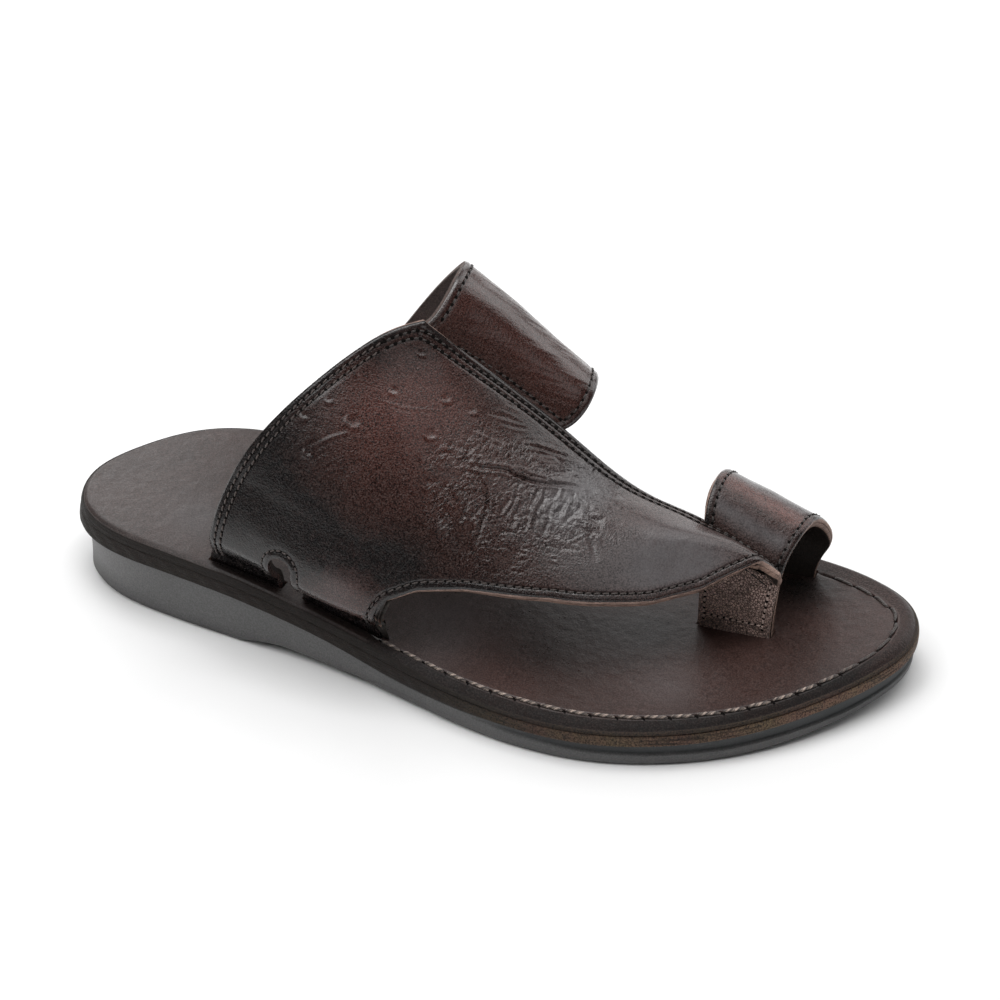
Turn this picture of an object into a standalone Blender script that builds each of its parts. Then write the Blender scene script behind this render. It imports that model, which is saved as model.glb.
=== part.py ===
"""Toe strap sandal, right foot: a leather slide on a one-piece rubber sole.

One named object for each piece a maker puts together:
  outsole   rubber, heel and forefoot in one, with a low arch between them
  midsole   leather layer under the footbed
  insole    leather footbed, slotted where the straps go down through it
  upper     lateral vamp, instep band and big-toe loop, joined where they cross

Frame: +X to the toe, +Y to the inner (medial) side, +Z up.  The shapes are
worked out in millimetres from the back of the heel, then moved so that the
origin is under the middle of the shoe, on the floor.
"""
import math

import bmesh
import bpy
import numpy as np

# ------------------------------------------------------------ driving sizes
LENGTH = 278.3          # footbed, heel to toe
BALL_WIDTH = 109.4      # footbed, across the ball
INSTEP_HEIGHT = 93.0    # top of the instep arch over the footbed
HEEL_HEIGHT = 20.0      # rubber under the heel seat

MIDSOLE_THICK = 3.6
INSOLE_THICK = 3.8
VAMP_WALL = 3.0         # outer leather and lining together
BAND_WALL = 3.0
LOOP_WALL = 3.4
GAP = 0.3               # between neighbouring pieces
SLOT_PLAY = 0.35        # slot wall to strap
FAIRING = 220.0         # how stiffly the vamp's sections are evened out, mm^3

# the tables below are drawn for this base size and grow with the sizes above
GX = LENGTH / 278.3
GY = BALL_WIDTH / 109.4
GZ = INSTEP_HEIGHT / 93.0
GH = HEEL_HEIGHT / 20.0

# ----------------------------------------------------------- sole tables, mm
# footbed rim, once round from the back of the heel by the outer side
OUTLINE = (
    # place            x      y
    ("heel back",     -1.2,  -2.2),
    ("heel corner",    2.4, -19.0),
    ("heel outer",    14.0, -29.2),
    ("heel widest",   35.0, -35.4),
    ("waist rear",    64.0, -39.6),
    ("waist outer",   98.0, -43.7),
    ("waist front",  132.0, -51.9),
    ("ball rear",    162.0, -58.0),
    ("ball outer",   189.0, -58.5),
    ("little toe",   214.0, -51.8),
    ("fourth toe",   236.5, -39.5),
    ("third toe",    255.4, -23.0),
    ("second toe",   270.0,  -5.2),
    ("toe tip",      277.1,  11.2),
    ("big toe",      274.3,  27.8),
    ("big toe inner", 260.0, 40.6),
    ("big toe side", 236.8,  48.3),
    ("ball inner",   208.5,  50.9),
    ("ball rear in", 180.6,  48.0),
    ("waist front in", 150.5, 39.6),
    ("waist inner",  116.0,  33.2),
    ("waist rear in", 82.0,  34.8),
    ("heel inner",    49.0,  38.7),
    ("heel quarter",  24.0,  31.0),
    ("heel corner in", 7.4,  15.0),
)

# heights along the shoe: top face of the rubber, its underside, and how much
# thicker than MIDSOLE_THICK the midsole is there
SOLE_HEIGHTS = (
    # x      rubber_top  underside  thicker
    (-5.0,   19.8,       0.0,       1.3),
    (30.0,   20.6,       0.0,       1.1),
    (58.0,   19.6,       0.0,       0.7),
    (66.0,   18.8,       0.0,       0.6),
    (70.0,   18.2,       1.6,       0.5),
    (74.0,   17.6,       2.7,       0.4),
    (80.0,   16.6,       3.4,       0.3),
    (100.0,  13.0,       2.4,       0.3),
    (120.0,   9.6,       1.4,       0.8),
    (145.0,   8.1,       0.6,       0.4),
    (162.0,   7.9,       0.0,       0.0),
    (205.0,   8.0,       0.0,       0.0),
    (228.0,   8.6,       0.0,       0.0),
    (245.0,   9.5,       0.8,       0.0),
    (262.0,  10.9,       2.6,       0.0),
    (278.0,  12.5,       4.8,       0.0),
)

# side of each layer: how far it stands out from the footbed rim
SIDE = (
    # x      leather_foot  rubber_top  rubber_waist  rubber_foot
    (-1.2,   1.8,          -0.9,       -1.3,         -1.1),
    (12.0,   1.4,          -0.7,       -1.2,         -1.1),
    (40.0,   0.8,          -0.4,       -0.9,         -0.8),
    (75.0,   0.9,          -0.2,       -0.6,         -0.5),
    (120.0,  1.2,           0.8,        0.1,          0.4),
    (160.0,  1.4,           1.2,        0.4,          0.8),
    (255.0,  1.4,           1.1,        0.3,          0.6),
    (278.0,  1.4,           0.6,       -0.3,          0.0),
)
TREAD_BARS = (
    # first_x  pitch  count     bowed grooves across the heel and the forefoot
    (13.0,     9.6,   6),
    (165.0,    10.4,  9),
)
TREAD_WIDTH, TREAD_DEEP = 3.4, 1.8
ROLL_DROP = 2.2         # the forefoot rim is skived down by this
ROLL_WIDTH = 7.5
ROLL_START, ROLL_FULL = 112.0, 150.0

# ----------------------------------------------------- upper: strap sections
# Each row is one section of the outer surface of the vamp, from where it goes
# down through the footbed at the outer side to its edge on top of the foot.
VAMP_RIBS = (
    # slot        bend                  side                  flank                 shoulder              brow                  ridge
    ((54.5,-34.6), (57.0,-38.8,36.5),   (60.6,-37.8,55.0),   (70.2,-32.0,76.9),   (88.9,-20.0,98.3),   (105.5,-8.0,110.3),  (117.2,0.0,113.0)),
    ((79.5,-36.4), (79.0,-41.3,34.0),   (84.0,-42.4,51.0),   (97.0,-36.5,72.0),   (113.0,-22.5,90.0),  (128.0,-6.0,96.6),   (141.4,6.0,92.0)),
    ((91.0,-38.2), (91.0,-44.4,31.0),   (96.0,-45.6,47.0),   (109.0,-40.0,65.0),  (126.0,-25.0,80.5),  (144.0,-7.0,84.8),   (159.6,7.0,79.6)),
    ((116.5,-43.0),(114.8,-47.3,29.0),  (118.5,-47.6,40.0),  (126.0,-43.0,52.5),  (142.0,-29.0,68.0),  (160.0,-9.0,74.5),   (176.6,7.5,65.8)),
    ((131.0,-46.6),(128.5,-48.5,26.0),  (128.5,-46.6,37.0),  (134.0,-42.0,49.5),  (148.5,-31.0,61.5),  (166.0,-12.5,69.0),  (189.4,8.5,57.8)),
    ((149.0,-50.0),(147.0,-51.0,25.0),  (146.0,-48.0,35.0),  (150.0,-42.0,46.0),  (164.0,-29.5,57.5),  (181.5,-11.0,63.5),  (198.2,9.0,55.0)),
    ((178.0,-51.5),(176.5,-50.5,25.0),  (175.0,-47.0,34.0),  (176.5,-39.0,45.5),  (187.0,-25.0,54.0),  (198.0,-8.0,57.8),   (206.8,8.5,53.0)),
    ((204.0,-44.0),(203.0,-42.5,26.0),  (202.0,-36.0,35.0),  (202.5,-27.0,43.0),  (206.0,-15.0,50.0),  (211.5,-3.0,54.6),   (216.0,8.0,49.0)),
    ((222.0,-30.0),(220.5,-28.0,27.0),  (218.5,-22.5,34.0),  (217.0,-15.0,41.5),  (219.0,-7.5,47.8),   (223.0,0.0,50.2),    (225.5,7.5,44.5)),
    ((236.0,-14.0),(234.5,-13.0,28.5),  (232.0,-10.0,36.0),  (230.0,-6.0,43.5),   (229.4,-2.0,48.4),   (230.6,2.4,46.8),    (232.0,6.6,40.0)),
    ((240.0,-8.0), (239.5,-7.0,28.5),   (238.0,-4.0,34.5),   (236.6,-1.0,40.0),   (235.6,2.0,42.5),    (235.4,4.2,40.0),    (235.4,6.4,35.5)),
)
REAR_TAB = (54.5, 79.0)          # where the vamp goes down through the footbed
FRONT_TAB = (89.0, 116.5)
NOTCH_WIDTH, NOTCH_TOP = 8.4, 44.6
# free edge of the vamp over the small toes
TOE_EDGE = (
    # x      height over the floor
    (117.0,  21.0),
    (117.6,  33.0),
    (121.0,  39.0),
    (130.0,  43.2),
    (145.0,  45.4),
    (172.0,  46.2),
    (190.0,  44.8),
    (202.0,  43.4),
    (215.0,  43.6),
    (223.0,  46.2),
    (229.5,  47.6),
    (233.5,  44.6),
    (236.0,  37.0),
)

# sections of the instep band: it starts under the vamp (rib counts along
# VAMP_RIBS), shows from the vamp's edge, and goes down the inner side
BAND_TUCK = (0.80, 0.86, 0.92, 0.985)      # places along the vamp section
BAND_RIBS = (
    # rib   crest                 shoulder              wall                  flank                slot
    (0.06, (121.8,16.0,120.0),   (120.2,30.0,118.6),  (108.5,39.0,102.5),  (83.0,41.0,64.0),    (62.5,32.4)),
    (0.62, (137.6,17.0,107.0),   (136.4,31.0,106.0),  (126.0,39.5,90.0),   (102.0,40.5,56.0),   (82.0,29.6)),
    (1.36, (153.8,18.0,94.4),    (152.0,31.5,93.4),   (143.0,40.0,78.0),   (121.0,39.0,48.0),   (101.0,28.4)),
    (2.16, (167.6,18.0,84.4),    (165.0,31.5,83.6),   (157.5,40.0,68.5),   (138.0,38.5,41.0),   (118.5,28.6)),
)
BAND_NOTCH_X = 90.5

# sections of the big-toe loop, from its slot between the toes over the big
# toe to its slot by the inner rim
LOOP_RIBS = (
    # post            neck                 over                 top                  side                 hem                  slot
    ((209.8, 0.6),   (209.5,2.2,38.0),    (208.8,9.0,57.0),    (209.0,20.0,61.5),   (209.2,31.0,57.2),   (209.6,39.5,42.0),   (210.5,38.6)),
    ((222.0, 0.5),   (222.0,2.2,33.5),    (223.0,8.5,49.0),    (224.2,20.0,54.6),   (225.2,31.0,51.2),   (225.4,40.5,36.0),   (224.2,38.8)),
    ((234.0, 0.4),   (234.6,2.8,30.5),    (236.4,10.0,43.0),   (239.2,20.0,47.7),   (241.1,30.7,45.1),   (243.4,40.6,31.0),   (239.2,38.6)),
)


# ------------------------------------------------------------------- splines
def second_derivatives(t, y, periodic=False):
    """Cubic spline second derivatives at knots t, for each column of y."""
    n = len(t)
    a = np.zeros((n, n))
    r = np.zeros_like(y)
    h = np.diff(t)
    if periodic:
        hh = np.concatenate([h, [0.0]])
        m = n - 1                       # last knot repeats the first
        a = np.zeros((m, m))
        r = np.zeros((m,) + y.shape[1:])
        for i in range(m):
            h0, h1 = h[i - 1], h[i]
            a[i, i - 1] += h0 / 6
            a[i, i] += (h0 + h1) / 3
            a[i, (i + 1) % m] += h1 / 6
            r[i] = (y[i + 1] - y[i]) / h1 - (y[i] - y[i - 1 if i else m - 1]) / h0
        s = np.linalg.solve(a, r)
        return np.concatenate([s, s[:1]])
    a[0, 0] = a[-1, -1] = 1.0
    for i in range(1, n - 1):
        a[i, i - 1] = h[i - 1] / 6
        a[i, i] = (h[i - 1] + h[i]) / 3
        a[i, i + 1] = h[i] / 6
        r[i] = (y[i + 1] - y[i]) / h[i] - (y[i] - y[i - 1]) / h[i - 1]
    return np.linalg.solve(a, r)


def spline(t, y, x, periodic=False):
    """Cubic spline through (t, y) read at x; natural ends unless periodic."""
    t = np.asarray(t, float)
    y = np.asarray(y, float)
    flat = y.reshape(len(y), -1)
    s = second_derivatives(t, flat, periodic)
    x = np.atleast_1d(np.asarray(x, float))
    i = np.clip(np.searchsorted(t, x, side="right") - 1, 0, len(t) - 2)
    h = (t[i + 1] - t[i])[:, None]
    b = (x - t[i])[:, None] / h
    a = 1 - b
    out = (a * flat[i] + b * flat[i + 1]
           + ((a ** 3 - a) * s[i] + (b ** 3 - b) * s[i + 1]) * h * h / 6)
    return out.reshape((len(x),) + y.shape[1:])


def column(table, name_index, x, smooth=True):
    """Read one column of a table whose first number is x."""
    rows = np.array([[float(v) for v in row] for row in table])
    t = rows[:, 0] * GX
    if smooth:
        return spline(t, rows[:, name_index], np.clip(x, t[0], t[-1]))
    return np.interp(x, t, rows[:, name_index])


def soft_step(x, a, b):
    w = np.clip((np.asarray(x, float) - a) / (b - a), 0, 1)
    return w * w * (3 - 2 * w)


# -------------------------------------------------------------- sole heights
def rubber_top(x):
    return GH * column(SOLE_HEIGHTS, 1, x)


def underside(x):
    return column(SOLE_HEIGHTS, 2, x, smooth=False)


def midsole_bottom(x):
    return rubber_top(x) + GAP


def midsole_top(x):
    return midsole_bottom(x) + MIDSOLE_THICK + column(SOLE_HEIGHTS, 3, x)


def insole_bottom(x):
    return midsole_top(x) + GAP


def footbed(x):
    return insole_bottom(x) + INSOLE_THICK


# -------------------------------------------------------------- sole outline
def outline_dense(n=1600):
    pts = np.array([[x * GX, y * GY] for _, x, y in OUTLINE])
    loop = np.vstack([pts, pts[:1]])
    t = np.concatenate([[0], np.cumsum(np.linalg.norm(np.diff(loop, axis=0), axis=1))])
    c = spline(t, loop, np.linspace(0, t[-1], n, endpoint=False), periodic=True)
    d = np.roll(c, -1, 0) - np.roll(c, 1, 0)
    d /= np.linalg.norm(d, axis=1)[:, None]
    out = np.stack([d[:, 1], -d[:, 0]], axis=1)       # away from the shoe
    return c, out


def outline_stations(m):
    """Rim points and outward directions at m+1 stations for the outer side,
    then back by the inner side: 2m points once round, heel back first."""
    c, out = outline_dense()
    i0, i1 = int(np.argmin(c[:, 0])), int(np.argmax(c[:, 0]))
    c = np.roll(c, -i0, 0)
    out = np.roll(out, -i0, 0)
    i1 = (i1 - i0) % len(c)
    sides = []
    x0, x1 = c[0, 0], c[i1, 0]
    xs = x0 + (x1 - x0) * (1 - np.cos(np.pi * np.arange(m + 1) / m)) / 2
    for part, o in ((c[:i1 + 1], out[:i1 + 1]),
                    (np.vstack([c[i1:], c[:1]])[::-1], np.vstack([out[i1:], out[:1]])[::-1])):
        px = np.maximum.accumulate(part[:, 0])
        px = px + np.arange(len(px)) * 1e-9
        y = np.interp(xs, px, part[:, 1])
        nx = np.interp(xs, px, o[:, 0])
        ny = np.interp(xs, px, o[:, 1])
        sides.append((np.stack([xs, y], 1), np.stack([nx, ny], 1)))
    (pl, nl), (pm, nm) = sides
    p = np.vstack([pl, pm[-2:0:-1]])
    n = np.vstack([nl, nm[-2:0:-1]])
    n /= np.linalg.norm(n, axis=1)[:, None]
    return p, n


def rim_y(x, inner_side):
    """Rim ordinate at station x on the outer or inner side."""
    p, _ = outline_stations(60)
    half = p[:61] if not inner_side else np.vstack([p[:1], p[:60:-1], p[60:61]])
    return np.interp(x, half[:, 0], half[:, 1])


def layer(name, rings, m, top, bottom):
    """Closed solid from stacked rim loops.  rings: list of (stand_out, height)
    from the bottom edge to the top edge, each a function of x; the first and
    last loops are closed across by faces between facing stations."""
    p, n = outline_stations(m)
    count = 2 * m
    verts, faces = [], []
    for stand, height in rings:
        s = stand(p[:, 0])
        q = p + n * s[:, None]
        z = height(q[:, 0])
        verts.extend(np.column_stack([q, z]).tolist())
    for k in range(len(rings) - 1):
        for i in range(count):
            j = (i + 1) % count
            faces.append((k * count + i, k * count + j, (k + 1) * count + j, (k + 1) * count + i))
    for base, up in (((len(rings) - 1) * count, True), (0, False)):
        for i in range(m):
            a, b = base + i, base + i + 1
            c, d = base + (count - i - 1) % count, base + (count - i) % count
            quad = [a, b, c, d]
            if i == 0:
                quad = [a, b, c]
            elif i == m - 1:
                quad = [a, b, d]
            faces.append(tuple(quad if up else quad[::-1]))
    return make_object(name, verts, faces)


# ---------------------------------------------------------------- the straps
def knots(grid):
    """Mean chord lengths along the first axis of a grid of points."""
    d = np.linalg.norm(np.diff(grid, axis=0), axis=2).mean(axis=1)
    return np.concatenate([[0], np.cumsum(d)]) / d.sum()


def bending(t):
    """Bending energy matrix of a natural cubic spline over the knots t."""
    n = len(t)
    h = np.diff(t)
    q = np.zeros((n, n - 2))
    r = np.zeros((n - 2, n - 2))
    for i in range(1, n - 1):
        q[i - 1, i - 1] = 1 / h[i - 1]
        q[i, i - 1] = -1 / h[i - 1] - 1 / h[i]
        q[i + 1, i - 1] = 1 / h[i]
        r[i - 1, i - 1] = (h[i - 1] + h[i]) / 3
        if i < n - 2:
            r[i - 1, i] = r[i, i - 1] = h[i] / 6
    return q @ np.linalg.solve(r, q.T)


def fair(grid, stiffness=FAIRING):
    """Even out a grid of section points from row to row, the way a lath laid
    through them would.  Points slide freely along their own line and give
    way a little across it; the first and last sections hardly move."""
    grid = np.asarray(grid, float)
    n = len(grid)
    start = grid
    for _ in range(3):
        length = np.linalg.norm(np.diff(grid, axis=0), axis=2).mean(axis=1)
        energy = stiffness * bending(np.concatenate([[0], np.cumsum(length)]))
        new = np.empty_like(grid)
        for j in range(grid.shape[1]):
            tangent = np.gradient(grid[:, j], axis=0)
            tangent /= np.linalg.norm(tangent, axis=1)[:, None]
            a = np.kron(energy, np.eye(3))
            b = np.zeros(3 * n)
            for k in range(n):
                hold = np.eye(3) - (0.0 if k in (0, n - 1) else 0.92) * np.outer(tangent[k], tangent[k])
                hold *= 30.0 if k in (0, n - 1) else 1.0
                a[3 * k:3 * k + 3, 3 * k:3 * k + 3] += hold
                b[3 * k:3 * k + 3] = hold @ start[k, j]
            new[:, j] = np.linalg.solve(a, b).reshape(n, 3)
        grid = new
    return grid


class Surface:
    """Smooth surface through a grid of section points: u across the rows of
    the table, v along each row, both from 0 to 1."""

    def __init__(self, grid):
        self.grid = np.asarray(grid, float)
        self.tu = knots(self.grid)
        self.tv = knots(self.grid.transpose(1, 0, 2))

    def at(self, u, v):
        """Points for matching lists u and v (one point each)."""
        u = np.atleast_1d(np.asarray(u, float))
        v = np.atleast_1d(np.asarray(v, float))
        out = np.empty((len(u), 3))
        for k in range(len(u)):
            rows = spline(self.tu, self.grid, u[k:k + 1])[0]
            out[k] = spline(self.tv, rows, v[k:k + 1])[0]
        return out

    def rib(self, u, v):
        """All points v of the section at one u."""
        rows = spline(self.tu, self.grid, [u])[0]
        return spline(self.tv, rows, v)


def grow(p):
    """A table point (x, y, z) at the shoe's real sizes."""
    x, y, z = p
    foot = float(footbed(np.array([x * GX]))[0])
    return (x * GX, y * GY, foot + (z - foot) * GZ)


def rooted(xy):
    """Two points of a strap in its slot: bottom and top of the footbed."""
    x, y = xy[0] * GX, xy[1] * GY
    xs = np.array([x])
    return ((x, y, float(insole_bottom(xs)[0]) + 0.15), (x, y, float(footbed(xs)[0]) + 0.2))


def vamp_surface():
    return Surface(fair([[*rooted(r[0]), *[grow(p) for p in r[1:]]] for r in VAMP_RIBS]))


def under_vamp(vamp, rib, v, depth):
    """A point under the vamp's outer face, at a place counted in its ribs."""
    u = float(np.interp(rib, np.arange(len(vamp.tu)), vamp.tu))
    e = 0.01
    p, pu, pv = vamp.at([u, min(u + e, 1), u], [v, v, v - e])
    n = np.cross(pu - p, p - pv)
    return tuple(p - n / np.linalg.norm(n) * depth)


def band_surface():
    vamp = vamp_surface()
    rows = []
    for rib, *over, slot in BAND_RIBS:
        tuck = [under_vamp(vamp, rib, v, VAMP_WALL - 0.6) for v in BAND_TUCK]
        rows.append([*tuck, *[grow(p) for p in over], *rooted(slot)[::-1]])
    return Surface(rows)


def loop_surface():
    return Surface([[*rooted(r[0]), *[grow(p) for p in r[1:-1]], *rooted(r[-1])[::-1]] for r in LOOP_RIBS])


def toe_edge_v(surface, u, fine=240):
    """Where the section at u comes up through the free toe edge."""
    v = np.linspace(0, 1, fine)
    p = surface.rib(u, v)
    edge = np.interp(p[:, 0], [r[0] * GX for r in TOE_EDGE], [r[1] for r in TOE_EDGE])
    above = p[:, 2] - edge
    k = np.where((above[:-1] < 0) & (above[1:] >= 0))[0]
    if len(k) == 0:                       # the section only just reaches the edge
        return float(v[np.argmax(above)])
    k = k[-1]
    w = above[k] / (above[k] - above[k + 1])
    return float(v[k] + w * (v[k + 1] - v[k]))


def sheet_normals(g, flip):
    du = np.gradient(g, axis=0)
    dv = np.gradient(g, axis=1)
    n = np.cross(du, dv)
    n /= np.linalg.norm(n, axis=2)[:, :, None]
    return -n if flip else n


def wall(name, outer, thick, flip):
    """Closed wall between a grid of outer points and the same grid moved in
    by its thickness.  flip turns the outward direction over."""
    n = sheet_normals(outer, flip)
    inner = outer - n * thick
    nu, nv = outer.shape[:2]
    verts = np.concatenate([outer.reshape(-1, 3), inner.reshape(-1, 3)])
    faces = []

    def a(i, j):
        return i * nv + j

    def b(i, j):
        return nu * nv + i * nv + j

    for i in range(nu - 1):
        for j in range(nv - 1):
            faces.append((a(i, j), a(i + 1, j), a(i + 1, j + 1), a(i, j + 1)))
            faces.append((b(i, j), b(i, j + 1), b(i + 1, j + 1), b(i + 1, j)))
    for i in range(nu - 1):
        faces.append((a(i, 0), b(i, 0), b(i + 1, 0), a(i + 1, 0)))
        faces.append((a(i, nv - 1), a(i + 1, nv - 1), b(i + 1, nv - 1), b(i, nv - 1)))
    for j in range(nv - 1):
        faces.append((a(0, j), a(0, j + 1), b(0, j + 1), b(0, j)))
        faces.append((a(nu - 1, j), b(nu - 1, j), b(nu - 1, j + 1), a(nu - 1, j + 1)))
    if flip:
        faces = [f[::-1] for f in faces]
    return make_object(name, verts.tolist(), faces)


# ------------------------------------------------------------------- objects
COLOURS = {
    # name        colour (linear)          roughness  metallic
    "outsole":   ((0.030, 0.030, 0.032),   0.62,      0.0),
    "midsole":   ((0.035, 0.020, 0.014),   0.55,      0.0),
    "insole":    ((0.055, 0.030, 0.023),   0.42,      0.0),
    "upper":     ((0.048, 0.022, 0.017),   0.38,      0.0),
}
ORIGIN = [0.0, 0.0]      # filled in from the outline, see place_origin


def place_origin():
    """Under the middle of the leather rim's box."""
    p, n = outline_stations(60)
    q = p + n * column(SIDE, 1, p[:, 0])[:, None]
    ORIGIN[0] = float(q[:, 0].min() + q[:, 0].max()) / 2
    ORIGIN[1] = float(q[:, 1].min() + q[:, 1].max()) / 2


def make_object(name, verts, faces):
    mesh = bpy.data.meshes.new(name)
    mesh.from_pydata([((x - ORIGIN[0]) / 1000, (y - ORIGIN[1]) / 1000, z / 1000) for x, y, z in verts], [], faces)
    bm = bmesh.new()
    bm.from_mesh(mesh)
    bmesh.ops.triangulate(bm, faces=[f for f in bm.faces if len(f.verts) > 3])
    bmesh.ops.recalc_face_normals(bm, faces=bm.faces)
    bm.to_mesh(mesh)
    bm.free()
    mesh.shade_smooth()
    mesh.set_sharp_from_angle(angle=math.radians(40))
    obj = bpy.data.objects.new(name, mesh)
    bpy.context.scene.collection.objects.link(obj)
    return obj


def finish_material(name, obj):
    colour, rough, metal = COLOURS[name]
    mat = bpy.data.materials.new(name)
    mat.use_nodes = True
    shader = mat.node_tree.nodes["Principled BSDF"]
    shader.inputs["Base Color"].default_value = (*colour, 1)
    shader.inputs["Roughness"].default_value = rough
    shader.inputs["Metallic"].default_value = metal
    mat.diffuse_color = (*[c ** 0.4545 for c in colour], 1)
    obj.data.materials.clear()
    obj.data.materials.append(mat)


def combine(obj, other, operation):
    """Boolean of obj with a helper that is not itself part of the shoe."""
    other.hide_render = True
    other.display_type = "WIRE"
    mod = obj.modifiers.new(other.name, "BOOLEAN")
    mod.operation = operation
    mod.solver = "EXACT"
    mod.object = other


def prism(name, loop, z0, z1):
    """Upright prism over a loop of (x, y) points."""
    k = len(loop)
    verts = [(x, y, z0) for x, y in loop] + [(x, y, z1) for x, y in loop]
    faces = [(i, (i + 1) % k, k + (i + 1) % k, k + i) for i in range(k)]
    faces += [tuple(range(k))[::-1], tuple(range(k, 2 * k))]
    return make_object(name, verts, faces)


def keyhole(name, x, z0, z1, width, y0, y1, lean=0.0):
    """Round-topped bar lying across the shoe, to cut the gap between tabs."""
    r = width / 2
    side = [(x - r, z0), (x + r, z0)]
    side += [(x + lean + r * math.cos(a), z1 - r + r * math.sin(a)) for a in np.linspace(0, math.pi, 13)]
    k = len(side)
    verts = [(a, y0, b) for a, b in side] + [(a, y1, b) for a, b in side]
    faces = [(i, (i + 1) % k, k + (i + 1) % k, k + i) for i in range(k)]
    faces += [tuple(range(k))[::-1], tuple(range(k, 2 * k))]
    return make_object(name, verts, faces)


def slot_cutter(name, surface, us, at_start, wall_thick):
    """Solid a little larger all round than a strap's end in the footbed.
    The strap goes down at v=0 (at_start) or at v=1."""
    rows = []
    for u in us:
        v = surface.tv[1] if at_start else surface.tv[-2]
        e = 0.0 if at_start else 1.0
        top = surface.at([u], [v])[0]
        low = surface.at([u], [e])[0]
        rows.append((top[:2], low[:2]))
    line = np.array([(t + l) / 2 for t, l in rows])
    d = np.gradient(line, axis=0)
    d /= np.linalg.norm(d, axis=1)[:, None]
    out = np.stack([d[:, 1], -d[:, 0]], 1) * (1 if at_start else -1)
    line[0] -= d[0] * (SLOT_PLAY + 0.25)
    line[-1] += d[-1] * (SLOT_PLAY + 0.25)
    outer = line + out * (SLOT_PLAY + 0.15)
    inner = line - out * (wall_thick + SLOT_PLAY + 0.15)
    return prism(name, np.vstack([outer, inner[::-1]]).tolist(), 5.0, 40.0)


def u_at_root(surface, x, v=0.0):
    """u of the section that meets the footbed at station x."""
    us = np.linspace(0, 1, 201)
    xs = np.array([surface.rib(u, [v])[0][0] for u in us])
    return float(np.interp(x, xs, us))


def build_outsole():
    def part(f):
        return lambda x: underside(x) + f * (rubber_top(x) - underside(x))

    def stand(i, extra=0.0):
        return lambda x: column(SIDE, i, x) + extra

    obj = layer("outsole", [
        (stand(4, -1.3), underside),
        (stand(4, -0.3), lambda x: underside(x) + 0.6),
        (stand(4), lambda x: underside(x) + 1.6),
        (stand(4), part(0.50)),
        (stand(3), part(0.58)),
        (stand(3), part(0.66)),
        (stand(2), lambda x: rubber_top(x) - 0.8),
        (stand(2, -0.4), rubber_top),
    ], 44, rubber_top, underside)
    bars = []
    for x0, step, count in TREAD_BARS:
        for i in range(count):
            x = x0 + step * i
            p = np.array([rim_y(x, False), rim_y(x, True)])
            y0, y1 = float(p[0]) + 9.0, float(p[1]) - 9.0
            bars.append((x, y0, y1))
    verts, faces = [], []
    for x, y0, y1 in bars:
        ys = np.linspace(y0, y1, 5)
        bow = 3.0
        loop = [(x + bow * (1 - ((y - (y0 + y1) / 2) / ((y1 - y0) / 2)) ** 2), y) for y in ys]
        loop = [(a + TREAD_WIDTH, y) for a, y in loop] + [(a, y) for a, y in loop[::-1]]
        n0, k = len(verts), len(loop)
        verts += [(a, y, -2.0) for a, y in loop] + [(a, y, TREAD_DEEP) for a, y in loop]
        faces += [(n0 + i, n0 + (i + 1) % k, n0 + k + (i + 1) % k, n0 + k + i) for i in range(k)]
        faces += [tuple(n0 + i for i in range(k))[::-1], tuple(n0 + k + i for i in range(k))]
    combine(obj, make_object("tread_grooves", verts, faces), "DIFFERENCE")
    return obj


def build_midsole():
    def stand(f):
        return lambda x: column(SIDE, 1, x) * f

    return layer("midsole", [
        (stand(1.0), midsole_bottom),
        (stand(0.62), midsole_top),
    ], 44, midsole_top, midsole_bottom)


def roll(x):
    return ROLL_DROP * soft_step(x, ROLL_START, ROLL_FULL)


def build_insole(cutters):
    def stand(f, extra=0.0):
        return lambda x: column(SIDE, 1, x) * f + extra

    obj = layer("insole", [
        (stand(0.5), insole_bottom),
        (stand(0.1), lambda x: footbed(x) - roll(x) - 0.7),
        (stand(0.0, -0.5), lambda x: footbed(x) - roll(x)),
        (stand(0.0, -ROLL_WIDTH * 0.45), lambda x: footbed(x) - roll(x) * 0.28),
        (stand(0.0, -ROLL_WIDTH), footbed),
    ], 44, footbed, insole_bottom)
    for c in cutters:
        combine(obj, c, "DIFFERENCE")
    return obj


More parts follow.
